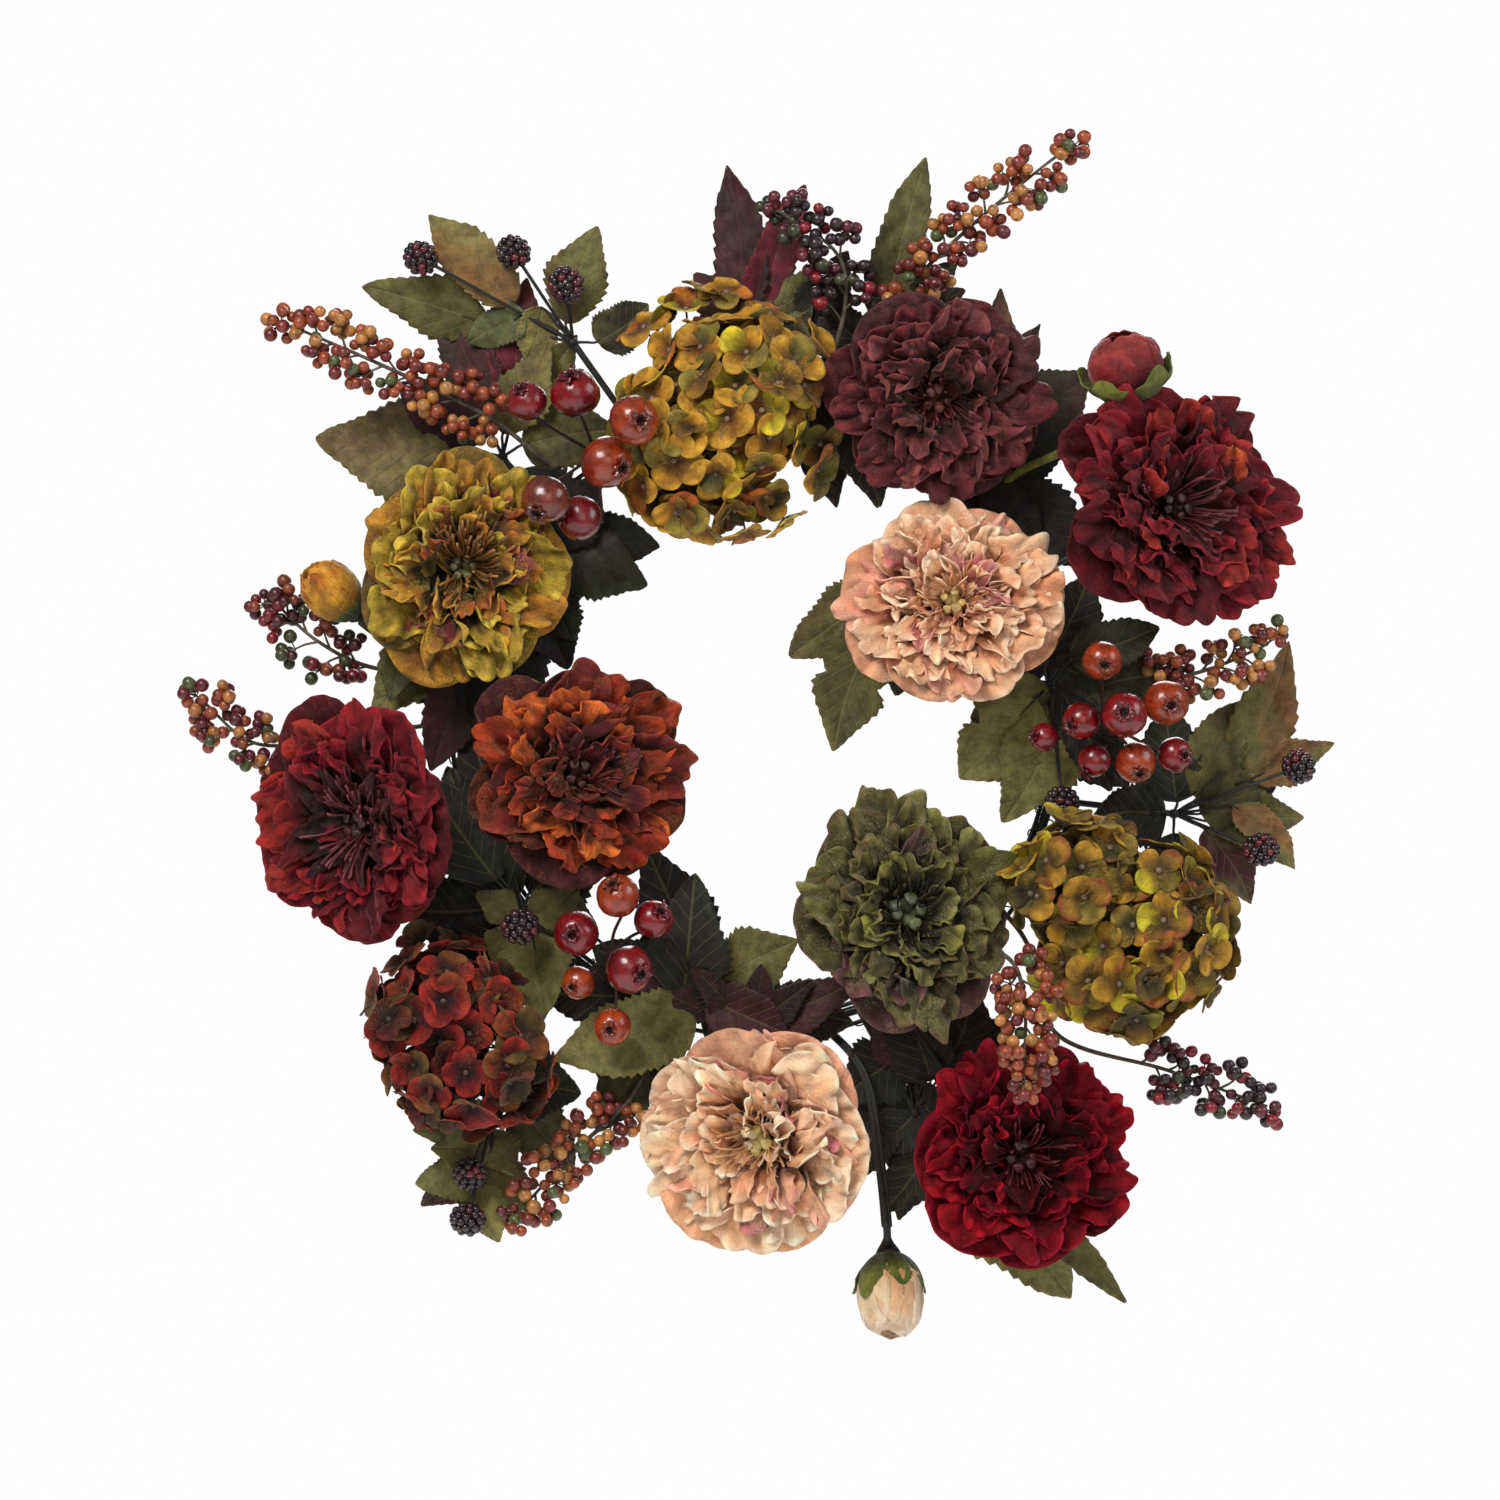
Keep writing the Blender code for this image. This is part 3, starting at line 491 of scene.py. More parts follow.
def leaf(shell, base, tip, width, rng, colour, dark=None, fold=0.16, arch=0.06, wave=1.2, teeth=8,
         roll=0.0, lobes=0.0, mat=0):
    """A folded, arched and toothed blade from base to tip."""
    rows, columns = 60, 15
    base, tip = np.asarray(base, float), np.asarray(tip, float)
    ahead = tip - base
    length = np.linalg.norm(ahead)
    ahead = ahead / length
    side = unit(np.cross(ahead, np.array((0.0, -1, 0))))
    up = np.cross(side, ahead)
    side, up = (side * math.cos(roll) + up * math.sin(roll),
                up * math.cos(roll) - side * math.sin(roll))
    s = np.linspace(0, 1, rows)[:, None]
    v = np.linspace(-1, 1, columns)[None, :]
    phase = rng.uniform(0, 2 * PI, 5)
    half = np.sin(PI * s ** 0.72) ** 0.85 * 0.5 * width
    half = half * (1 + 0.10 * np.sin(3 * s * PI + phase[0]))
    half = half * (1 - lobes * np.exp(-((s - 0.50) / 0.07) ** 2)
                   + 0.25 * lobes * np.exp(-((s - 0.36) / 0.10) ** 2))
    tooth = (s * teeth) % 1.0
    half = half * (1 + 0.17 * (tooth - 0.45) * ease(0.03, 0.15, s) * (1 - 0.3 * s)) + 0.35
    x = half * v
    y = (fold * np.abs(x) + arch * length * np.sin(PI * s)
         + wave * np.abs(v) ** 1.5 * np.sin(5.5 * s + phase[1] + 1.2 * np.sign(v)))
    y = y + 0.35 * wave * np.sin(11 * s + phase[2] + 2 * v) * np.abs(v)
    crush = crumple(rng, x, s * length, 6, (8, 22), 1.3) / 2.4
    y = y + 0.75 * crush * (0.35 + 0.65 * np.abs(v))
    # side veins and mid rib are pressed in
    vein = s * 7.0 - np.abs(v) * 2.4 * (half / (0.5 * width))
    y = y - 0.22 * np.exp(-((vein % 1.0 - 0.5) / 0.12) ** 2) - 0.45 * np.exp(-(v / 0.07) ** 2)
    grid = base + ahead * (length * s[..., None]) + side * x[..., None] + up * y[..., None]
    grid = grid + side * (0.05 * length * math.sin(phase[3]) * np.sin(PI * s))[..., None]
    colour = np.asarray(colour, float)
    dark = colour * 0.55 if dark is None else np.asarray(dark, float)
    mix = (0.5 + 0.5 * np.sin(4 * s + phase[4] + 1.7 * v)) * 0.6 + 0.12 * crush
    mix = np.clip(mix, 0, 1)[..., None]
    coord = np.stack(np.broadcast_arrays(v * (half / (0.5 * width)), s, phase[0]), -1)
    shell.sheet(grid, colour * (1 - mix) + dark * mix, coord, mat=mat)


# ------------------------------------------------------------------ materials
class Shader:
    """A material and its principled shader; the methods add nodes and return their outputs."""

    def __init__(self, name):
        self.material = bpy.data.materials.new(name)
        self.material.use_nodes = True
        self.tree = self.material.node_tree
        self.tree.nodes.clear()
        output = self.add("OutputMaterial")
        self.bsdf = self.add("BsdfPrincipled")
        self.feed(output.inputs[0], self.bsdf.outputs[0])

    def feed(self, socket, value):
        """Links an output to the socket, or stores a plain value there."""
        if isinstance(value, bpy.types.NodeSocket):
            self.tree.links.new(value, socket)
        elif socket.type == "RGBA":
            socket.default_value = (*[float(k) for k in value], 1.0)
        else:
            socket.default_value = value

    def add(self, kind, inputs=None, **settings):
        node = self.tree.nodes.new("ShaderNode" + kind)
        for key, value in settings.items():
            setattr(node, key, value)
        for key, value in (inputs or {}).items():
            self.feed(node.inputs[key], value)
        return node

    def surface(self, inputs):
        for key, value in inputs.items():
            self.feed(self.bsdf.inputs[key], value)
        return self.material

    def colour(self):
        return self.add("Attribute", attribute_name="Col").outputs["Color"]

    def coord(self):
        return self.add("Attribute", attribute_name="Pc").outputs["Vector"]

    def place(self):
        return self.add("TexCoord").outputs["Object"]

    def noise(self, where, scale, detail=3.0, rough=0.55, distortion=0.0):
        return self.add("TexNoise", {"Vector": where, "Scale": scale, "Detail": detail,
                                     "Roughness": rough, "Distortion": distortion}).outputs[0]

    def math(self, operation, first, second=0.0):
        return self.add("Math", {0: first, 1: second, 2: 0.0}, operation=operation).outputs[0]

    def remap(self, value, span, to=(0.0, 1.0)):
        """Eases the value from the span to the new span."""
        inputs = {0: value, 1: span[0], 2: span[1], 3: to[0], 4: to[1]}
        return self.add("MapRange", inputs, interpolation_type="SMOOTHSTEP").outputs[0]

    def mix(self, factor, first, second, mode="MIX"):
        inputs = {"Factor": factor, 6: first, 7: second}
        return self.add("Mix", inputs, data_type="RGBA", blend_type=mode).outputs[2]

    def dim(self, colour, factor):
        """The colour times a grey factor."""
        grey = self.add("CombineColor", {0: factor, 1: factor, 2: factor}).outputs[0]
        return self.mix(1.0, colour, grey, "MULTIPLY")

    def stretch(self, vector, by):
        return self.add("VectorMath", {0: vector, 1: by}, operation="MULTIPLY").outputs[0]

    def split(self, vector):
        return self.add("SeparateXYZ", {0: vector}).outputs

    def bump(self, height, strength, distance, normal=None):
        inputs = {"Strength": strength, "Distance": distance, "Height": height}
        if normal is not None:
            inputs["Normal"] = normal
        return self.add("Bump", inputs).outputs[0]


def petal_material(name, highlight_fleck, highlight_fleck_amount, streak, sheen, sheen_tint, gloss=0.30, mottle=0.30):
    """Silk or velvet: blotches, fibre streaks along the petal, flecks of painted highlight as on a
    brushed pile, and weave.
    """
    sh = Shader(name)
    colour, coord, place = sh.colour(), sh.coord(), sh.place()
    blotch = sh.remap(sh.noise(place, scale=120, detail=3, rough=0.6), span=(0.34, 0.66),
                      to=(1 - mottle, 1 + mottle))
    fibre = sh.noise(sh.stretch(coord, by=(7.0, 0.7, 1.0)), scale=3.0, detail=4, rough=0.65,
                     distortion=0.3)
    streaks = sh.remap(fibre, span=(0.30, 0.70), to=(1 - streak, 1 + streak))
    colour = sh.dim(colour, sh.math("MULTIPLY", blotch, streaks))
    # painted highlight: lighter flecks in patches, standing in for light caught by the velvet pile
    highlight_patch = sh.remap(sh.noise(place, scale=75, detail=2, rough=0.5, distortion=0.4),
                     span=(0.46, 0.62))
    grain = sh.remap(sh.noise(place, scale=1100, detail=2, rough=0.6), span=(0.44, 0.64))
    highlight_amount = sh.math("MULTIPLY", sh.math("MULTIPLY", highlight_patch, grain), highlight_fleck_amount)
    colour = sh.mix(highlight_amount, colour, lin(*highlight_fleck))
    rough = sh.remap(sh.noise(place, scale=300, detail=2), span=(0.3, 0.7), to=(0.52, 0.72))
    height = sh.math("ADD", sh.math("MULTIPLY", fibre, 0.7),
                     sh.math("MULTIPLY", sh.noise(place, scale=2400, detail=2, rough=0.7), 0.35))
    crinkle = sh.noise(place, scale=260, detail=3, rough=0.6, distortion=0.5)
    normal = sh.bump(crinkle, strength=0.75, distance=0.0018)
    normal = sh.bump(height, strength=0.55, distance=0.0006, normal=normal)
    return sh.surface({"Base Color": colour, "Roughness": rough, "Specular IOR Level": gloss,
                       "Sheen Weight": sheen, "Sheen Roughness": 0.40, "Sheen Tint": sheen_tint,
                       "Normal": normal})


def leaf_material(name, vein, vein_amount):
    """Printed fabric: side veins and mid rib from the leaf's own coordinates, blotches, weave."""
    sh = Shader(name)
    colour, coord, place = sh.colour(), sh.coord(), sh.place()
    x, y, _ = sh.split(coord)
    across = sh.math("ABSOLUTE", x)
    bend = sh.math("MULTIPLY", sh.noise(place, scale=200, detail=2), 0.10)
    slant = sh.math("SUBTRACT", sh.math("MULTIPLY", y, 7.0), sh.math("MULTIPLY", across, 2.4))
    wave = sh.math("FRACT", sh.math("ADD", slant, bend))
    from_vein = sh.math("ABSOLUTE", sh.math("SUBTRACT", wave, 0.5))
    side = sh.math("MULTIPLY", sh.remap(from_vein, span=(0.0, 0.07), to=(1.0, 0.0)),
                   sh.remap(across, span=(0.75, 1.0), to=(1.0, 0.2)))
    rib = sh.remap(across, span=(0.0, 0.06), to=(1.0, 0.0))
    veins = sh.math("MAXIMUM", side, rib)
    blotch = sh.remap(sh.noise(place, scale=140, detail=4, rough=0.65), span=(0.32, 0.68),
                      to=(0.65, 1.35))
    fine = sh.remap(sh.noise(place, scale=900, detail=3, rough=0.7), span=(0.3, 0.7),
                    to=(0.86, 1.14))
    colour = sh.dim(colour, sh.math("MULTIPLY", blotch, fine))
    colour = sh.mix(sh.math("MULTIPLY", veins, vein_amount), colour, lin(*vein))
    rough = sh.remap(sh.noise(place, scale=220, detail=2), span=(0.3, 0.7), to=(0.56, 0.76))
    weave = sh.noise(sh.stretch(place, by=WHITE), scale=1700, detail=2, rough=0.7)
    height = sh.math("ADD", sh.math("MULTIPLY", veins, -0.8), sh.math("MULTIPLY", weave, 0.35))
    normal = sh.bump(sh.noise(place, scale=180, detail=3, rough=0.6), strength=0.35,
                     distance=0.0015)
    normal = sh.bump(height, strength=0.6, distance=0.0006, normal=normal)
    return sh.surface({"Base Color": colour, "Roughness": rough, "Specular IOR Level": 0.3,
                       "Sheen Weight": 0.12, "Normal": normal})


def fruit_material(name, rough, coat, streak, streak_amount, speck, speck_amount, pit=0.25):
    """Lacquered fruit: streaks from stalk to crown, specks and a slightly uneven coat."""
    sh = Shader(name)
    colour, coord, place = sh.colour(), sh.coord(), sh.place()
    lines = sh.noise(sh.stretch(coord, by=(26.0, 1.2, 1.0)), scale=2.0, detail=3, rough=0.6,
                     distortion=0.4)
    lines = sh.math("MULTIPLY", sh.remap(lines, span=(0.45, 0.68)), streak_amount)
    colour = sh.mix(lines, colour, lin(*streak))
    specks = sh.remap(sh.noise(place, scale=950, detail=2, rough=0.5), span=(0.60, 0.72))
    colour = sh.mix(sh.math("MULTIPLY", specks, speck_amount), colour, lin(*speck))
    blotch = sh.remap(sh.noise(place, scale=170, detail=3, rough=0.6), span=(0.32, 0.68),
                      to=(0.72, 1.28))
    colour = sh.dim(colour, blotch)
    roughness = sh.remap(sh.noise(place, scale=400, detail=2), span=(0.3, 0.7),
                         to=(rough - 0.06, rough + 0.10))
    normal = sh.bump(sh.noise(place, scale=420, detail=3, rough=0.6), strength=pit,
                     distance=0.0008)
    normal = sh.bump(sh.noise(place, scale=2200, detail=2, rough=0.6), strength=0.2,
                     distance=0.0003, normal=normal)
    return sh.surface({"Base Color": colour, "Roughness": roughness, "Coat Weight": coat,
                       "Coat Roughness": 0.12, "Normal": normal})


def stem_material(name, dark, light, rough=0.6, wrap=0.0, grain=0.4, metal=0.0):
    """Grain along the length, and the edges of floral tape where wrap (turns per mm) is set."""
    sh = Shader(name)
    coord, tint, place = sh.coord(), sh.colour(), sh.place()
    along = sh.noise(sh.stretch(coord, by=(9.0, 0.14, 1.0)), scale=2.0, detail=4, rough=0.7)
    mottle = sh.noise(place, scale=260, detail=3, rough=0.6)
    blend = sh.math("ADD", sh.math("MULTIPLY", along, 0.6), sh.math("MULTIPLY", mottle, 0.4))
    colour = sh.mix(sh.remap(blend, span=(0.36, 0.64)), dark, light)
    colour = sh.mix(1.0, colour, tint, "MULTIPLY")
    height = sh.math("ADD", sh.math("MULTIPLY", along, grain),
                     sh.math("MULTIPLY", sh.noise(place, scale=1300, detail=2), 0.25))
    if wrap:
        x, y, _ = sh.split(coord)
        turn = sh.math("FRACT", sh.math("ADD", sh.math("MULTIPLY", y, wrap), x))
        height = sh.math("ADD", height, sh.math("MULTIPLY", turn, 0.8))
        colour = sh.mix(sh.remap(turn, span=(0.0, 0.10), to=(0.35, 0.0)), colour, dark)
    roughness = sh.remap(mottle, span=(0.3, 0.7), to=(rough - 0.12, rough + 0.12))
    return sh.surface({"Base Color": colour, "Roughness": roughness, "Metallic": metal,
                       "Normal": sh.bump(height, strength=0.6, distance=0.0005)})


# name, painted highlight fleck colour and amount, fibre streak, sheen and its tint, then gloss and
# mottle if set
PETAL = {key: petal_material(*row) for key, row in {
    "gold": ("silk_gold", (.84, .74, .22), .36, .28, .45, (1.0, .90, .50)),
    "burgundy": ("velvet_burgundy", (.60, .34, .32), .22, .28, .36, (1.0, .58, .52)),
    "red": ("velvet_red", (.76, .18, .19), .16, .32, .34, (1.0, .30, .32), .22),
    "peach": ("silk_peach", (.99, .90, .80), .35, .12, .22, (1.0, .84, .70), .30, .10),
    "copper": ("velvet_copper", (.82, .46, .18), .20, .32, .40, (1.0, .54, .28), .24),
    "olive": ("velvet_olive", (.62, .60, .40), .40, .28, .40, (.95, .92, .60)),
    "crimson": ("velvet_crimson", (.72, .05, .13), .10, .30, .22, (1.0, .12, .20), .14),
    "yellow": ("floret_silk_yellow", (.84, .62, .24), .30, .20, .25, (1.0, .85, .50)),
    "bronze": ("floret_silk_bronze", (.66, .40, .20), .30, .22, .28, (1.0, .60, .48), .24),
    "bud": ("bud_silk", (.96, .86, .72), .15, .08, .25, (1.0, .90, .80), .30, .10),
    "bud_gold": ("bud_silk_gold", (.86, .64, .24), .18, .24, .25, (1.0, .85, .50)),
    "bud_red": ("bud_velvet_red", (.70, .26, .26), .14, .26, .35, (1.0, .55, .55)),
}.items()}
LEAF = {
    "olive": leaf_material("leaf_olive", vein=(.52, .50, .30), vein_amount=0.30),
    "maroon": leaf_material("leaf_maroon", vein=(.44, .26, .26), vein_amount=0.30),
    "dark": leaf_material("leaf_dark", vein=(.24, .25, .18), vein_amount=0.30),
}
THREAD = stem_material("stamen_thread", (1.15, 1.15, 1.15), (0.80, 0.80, 0.80), rough=0.5,
                       grain=0.3)
# name, roughness, coat, streak colour and amount, speck colour and amount, pitting
CARPEL, HIP, BERRY, DRUPE = [fruit_material(*row) for row in (
    ("carpel", .45, .1, (.30, .28, .20), .35, (.20, .18, .14), .3, .5),
    ("hip_skin", .24, .55, (.35, .03, .06), .55, (.16, .05, .05), .35),
    ("berry_skin", .34, .25, (.30, .12, .08), .25, (.20, .10, .08), .25),
    ("bramble_drupelet", .26, .45, (.16, .05, .10), .2, (.30, .10, .14), .2))]
CROWN = stem_material("hip_crown", lin(.16, .07, .06), lin(.34, .20, .14), rough=0.7)
TAPE = stem_material("stem_tape", lin(.06, .06, .055), lin(.15, .15, .12), rough=0.55, wrap=0.16)
GREEN = stem_material("bud_stem", lin(.34, .34, .10), lin(.52, .52, .20), rough=0.55, grain=0.6)
BLACK = stem_material("dark_stem", lin(.05, .05, .05), lin(.17, .16, .14), rough=0.5, grain=0.8)
TWIG = stem_material("spray_twig", lin(.24, .20, .16), lin(.46, .42, .35), rough=0.65, grain=0.8)
ROD = stem_material("coated_rod", lin(.055, .055, .055), lin(.11, .11, .11), rough=0.38, grain=0.2)
WIRE = stem_material("binding_wire", lin(.13, .13, .12), lin(.30, .29, .27), rough=0.36,
                     grain=0.2, metal=0.7)
HANGER = stem_material("hanger_wire", lin(.10, .11, .09), lin(.26, .27, .23), rough=0.40,
                       grain=0.2, metal=0.5)
SEPAL = leaf_material("sepal", vein=(.52, .52, .26), vein_amount=0.22)


# ------------------------------------------------------------------ ring, wire, hanger
def ring_rod(node, radius, diameter):
    """A slightly uneven closed rod."""
    angle = np.linspace(0, 2 * PI, 240, endpoint=False)
    r = radius + (0.12 * np.sin(5 * angle + radius) + 0.08 * np.sin(11 * angle))
    shell = Shell()
    shell.tube(np.stack((r * np.cos(angle), np.full(240, ROD_Y), r * np.sin(angle)), -1),
               diameter / 2, 14, closed=True)
    shell.build(node + "_coated", [ROD], "wreath", node, "coated_rod")


def binding_wire():
    """A coil in rounded square turns about all three rods."""
    inside, outside = INNER_RADIUS - SIDE_ROD / 2 - 0.6, OUTER_RADIUS + SIDE_ROD / 2 + 0.8
    half_depth = MAIN_ROD / 2 + 0.55
    turns, start, sweep = 54, 102.0, 336.0  # start and sweep round the ring in degrees
    knots = []
    for i in range(turns * 8 + 1):
        share = i / (turns * 8)
        # the spacing of the turns varies round the ring
        angle = math.radians(start + sweep * (share + 0.010 * math.sin(share * 2 * PI * 9)))
        cos, sin = math.cos(2 * PI * i / 8), math.sin(2 * PI * i / 8)
        flat = (abs(cos) ** 4 + abs(sin) ** 4) ** 0.25
        radius = (outside + inside) / 2 + (outside - inside) / 2 * cos / flat
        knots.append((radius * math.cos(angle), ROD_Y + half_depth * sin / flat,
                      radius * math.sin(angle)))
    shell = Shell()
    shell.tube(smooth_path(knots, turns * 20), 0.42, 7)
    shell.build("binding_wire_coil", [WIRE], "wreath", "binding_wire", "wire")


def hanger():
    """An eye round the outer rod at either side and a bow between them."""
    margin = 0.8  # room left for the wire's own thickness
    half_width = box_size("hanger_loop", 0) / 2 - margin
    pivot = np.array((0, ROD_Y, OUTER_RADIUS))
    eye = SIDE_ROD / 2 + 0.35 + margin
    rise = 1000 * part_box("hanger_loop")[1][2] - RING_HEIGHT - pivot[2] - margin
    bow = 10.0  # height of the rounded top

    def eye_points(side, degrees):
        return [pivot + (side * half_width, -eye * math.sin(math.radians(k)),
                         eye * math.cos(math.radians(k))) for k in degrees]

    knots = eye_points(-1, range(225, 60, -15))
    for k in range(19):
        angle = PI - PI * k / 18
        knots.append(pivot + (half_width * 0.86 * math.cos(angle), -eye,
                              rise - bow + bow * math.sin(angle)))
    knots += eye_points(1, range(75, 226, 15))
    shell = Shell()
    shell.tube(smooth_path(knots, 150), 0.78, 10)
    shell.build("hanger_loop_wire", [HANGER], "hanger", "hanger_loop", "wire")


ring_rod("ring_rod_main", RING_RADIUS, MAIN_ROD)
ring_rod("ring_rod_inner", INNER_RADIUS, SIDE_ROD)
ring_rod("ring_rod_outer", OUTER_RADIUS, SIDE_ROD)
binding_wire()
hanger()

# ------------------------------------------------------------------ peonies
# foot angle of the stem; how far the head opens beyond its CAD envelope, across and up;
# how far it sits to the right and up on its stem (mm)
PEONIES = {
    "peony_gold": (152, 1.0, 1.0, 5.0, 0), "peony_burgundy": (62, 1.04, 1.02, 6.0, -2.0),
    "peony_red_right": (29, 1.32, 1.10, 11.0, 5.0), "peony_peach_top": (37, 1.06, 1.16, 2.0, 5.0),
    "peony_red_left": (197, 1.14, 1.04, -8.0, -5.0), "peony_orange": (188, 1.20, 1.08, 12.0, 1.0),
    "peony_olive": (-53, 1.02, 1.17, 6.0, 3.0), "peony_peach_bottom": (-92, 1.06, 1.03, -8.0, -1.0),
    "peony_crimson": (-64, 1.05, 1.05, 8.0, 6.0)}
# radius and height of a carpel whose widest radius is 3
CARPEL_PROFILE = np.array([(0, -6), (1.6, -5.6), (2.6, -3.5), (3.0, -1), (2.7, 1.5), (2.0, 3.4),
                           (1.9, 4.4), (2.5, 5.2), (2.2, 6.0), (1.0, 6.3), (0, 6.1)])

# What a layer of petals is unless its style says otherwise. scatter, vary, open and rise are the
# spread of azimuth, length, end angle and height; ring is a starting radius as a share of the
# head's; same is the share of petals cupped the usual way; kept is how many petals are built.
# The rest are the arguments of petal(); of these, deep sets the painted shade at a petal's root
# and bright the painted highlight at its rim.
LAYER = dict(
    scatter=.18, vary=.08, open=9, rise=1.0, ring=0.0, same=1.0, start=None, kept=99, r0=4.0, h0=2.0,
    curl=0.0, cup=.6, ruffle=3.0, waves=2.2, notch=.05, teeth=3, twist=.25, lean=.12, rows=16,
    columns=14, waist=.30, point=0.0, tips=.6, pleat=.45, pucker=.9, deep=.16, frill=0.0, folds=8.0,
    bright=0.0)
GUARD = dict(
    rows=24, columns=24, ruffle=1.8, waves=1.3, notch=.025, teeth=2, cup=.6, r0=5, h0=.5, pleat=.4,
    pucker=1.1, tips=.5, scatter=.12, frill=.5, folds=9, bright=.15)
OUTER = dict(
    rows=26, columns=28, ruffle=3.8, waves=1.9, notch=.10, teeth=3.6, cup=.7, r0=8, h0=2, curl=.6,
    pucker=1.7, twist=.4, lean=.2, scatter=.3, frill=1.5, folds=11, bright=.35)
PUFF = dict(
    rows=18, columns=18, ruffle=2.4, waves=1.4, notch=.13, teeth=2.4, cup=-1.0, same=.55, r0=0,
    h0=13, rise=3.5, curl=.6, pucker=1.5, waist=.36, twist=1.0, lean=.35, scatter=.55, tips=.9,
    open=22, vary=.22, deep=.03, frill=1.15, folds=7.5, bright=.4)
SILK = dict(PUFF, deep=.50, bright=.15, frill=1.3, folds=8)
SCALLOP = dict(SILK, same=.2, pucker=1.1)
BROAD = dict(SILK, same=.3, pucker=1.2)
THUMB = dict(PUFF, same=.75, cup=-1.15, notch=.08, ruffle=1.9, pucker=1.2, twist=.7, lean=.3)
HEART = dict(
    rows=16, columns=11, ruffle=2.0, waves=1.2, notch=.08, teeth=1.6, cup=1.0, r0=5, h0=4, curl=.7,
    twist=.7, lean=.25, waist=.4, pucker=.9, deep=.10)
POINTED = dict(HEART, point=.75, twist=.4, notch=.02)


def layer(count, length, width, first, last, looks, style, **changes):
    """count petals; length and width are shares of the head's radius, angles are degrees."""
    return SimpleNamespace(count=count, length=length, width=width, first=first, last=last,
                           looks=looks, **{**LAYER, **style, **changes})


def ruffled(guard, outer, mid, inner, heart, size=1.0, more=(22, 20, 15)):
    """Guard petals, lobed outer petals, three rings of small puffed ones round an open heart."""
    return [layer(7, 1.00, .52, 56, 92, guard, GUARD),
            layer(12, .99, .36, 44, 82, outer, OUTER),
            layer(more[0], .46, .19 * size, 34, 76, mid, PUFF, ring=.44, h0=12),
            layer(more[1], .44, .18 * size, 24, 70, mid, PUFF, ring=.34, h0=15),
            layer(more[2], .40, .16 * size, 14, 58, inner, PUFF, ring=.26, h0=14),
            layer(9, .34, .13, 16, 44, heart, HEART, h0=0)]


def head_frame(node):
    """Neck point and axes of a head from its CAD nodes, and its points in that frame."""
    head, stem = cad_points(node), cad_points(node + "_stem")
    gap = np.linalg.norm(head[:, None, :] - stem[None, :, :], axis=2)
    stem_end = stem[gap.min(0).argsort()[:8]].mean(0)
    neck = head[np.linalg.norm(head - stem_end, axis=1).argmin()]
    axes = facing(head.mean(0) - neck)
    return neck, axes, (head - neck) @ axes.T


def add_layer(shell, neck, axes, radius, stretch, ring, rng):
    vary = rng.uniform
    start = vary(0, 2 * PI)
    if ring.start is not None:
        start = ring.start
    for i in range(ring.count):
        azimuth = start + 2 * PI * (i + vary(-1, 1) * ring.scatter) / ring.count
        if i >= ring.kept:
            continue
        colours = pick(rng, ring.looks)
        length = ring.length * radius * vary(1 - ring.vary, 1 + ring.vary)
        width = ring.width * radius * vary(0.86, 1.14)
        first = ring.first + vary(-5, 5)
        last = ring.last + vary(-1, 1) * ring.open
        tip = shade(rng, colours[2])
        petal(shell, neck, axes, azimuth, length, width, first, last, rng,
              r0=ring.r0 + ring.ring * radius * vary(0.85, 1.15),
              h0=ring.h0 + vary(-1, 1) * ring.rise,
              curl=ring.curl * vary(-0.4, 1.4),
              cup=ring.cup * vary(0.6, 1.3) * (1 if vary() < ring.same else -1),
              ruffle=ring.ruffle * vary(0.6, 1.3), waves=ring.waves * vary(0.8, 1.25),
              notch=ring.notch, teeth=ring.teeth * vary(0.8, 1.3),
              twist=vary(-1, 1) * ring.twist, lean=vary(-1, 1) * ring.lean,
              thick=0.55, rows=ring.rows, columns=ring.columns, waist=ring.waist,
              point=ring.point,
              colours=(shade(rng, colours[0]), shade(rng, colours[1], 0.16), tip),
              tips=ring.tips * vary(0.4, 1.2), edge=colours[3] if len(colours) > 3 else None,
              stretch=stretch, pleat=ring.pleat, pucker=ring.pucker * vary(0.7, 1.25),
              deep=ring.deep, frill=ring.frill * vary(0.6, 1.3),
              folds=ring.folds * vary(0.85, 1.2), bright=ring.bright * vary(0.3, 1.4))


def add_threads(shell, centre, axes, stretch, rng, count, tilt, length, colours, radius=0.42,
                curl=0.25, bunch=(), fork=False):
    """Stamens; bunch lists the azimuths they gather at."""
    points = 8
    u = np.linspace(0, 1, points)
    for _ in range(count):
        azimuth = rng.uniform(0, 2 * PI)
        if bunch:
            azimuth = rng.choice(bunch) + rng.normal(0, 0.42)
        lean = math.radians(rng.uniform(*tilt))
        long = rng.uniform(*length)
        outward, sideways = spokes(axes, azimuth, stretch)
        root = rng.uniform(2.5, 5.0)
        angle = lean + rng.uniform(-0.2, 0.7) * u
        out = np.concatenate(([0], np.cumsum(np.sin(angle[1:])) / (points - 1))) * long
        up = np.concatenate(([0], np.cumsum(np.cos(angle[1:])) / (points - 1))) * long
        bend = curl * rng.uniform(-1, 1)
        path = (centre + outward * (root + out)[:, None] + axes[2] * up[:, None]
                + sideways * (bend * long * u ** 2.2)[:, None])
        path = path + sideways * (0.6 * np.sin(u * 7 + azimuth))[:, None]
        radii = np.full(points, radius)
        radii[-2:] *= 1.5
        if fork and rng.uniform() < 0.6:
            side = unit(sideways + rng.uniform(-0.4, 0.4) * axes[2])
            branch = [path[-2], path[-1] + side * 1.3, path[-1] + side * 2.2 + axes[2] * 0.8]
            shell.tube(smooth_path(branch, 5), radii[0] * 0.9, 5, pick(rng, colours),
                       tag=rng.uniform(0, 9))
        colour = shade(rng, pick(rng, colours), 0.2)
        # painted shade: each thread is darker towards its root, down in the heart
        colour = np.repeat(colour[None, :], points, 0) * (0.7 + 0.4 * u)[:, None]
        shell.tube(path, radii, 5, colour, tag=rng.uniform(0, 9))


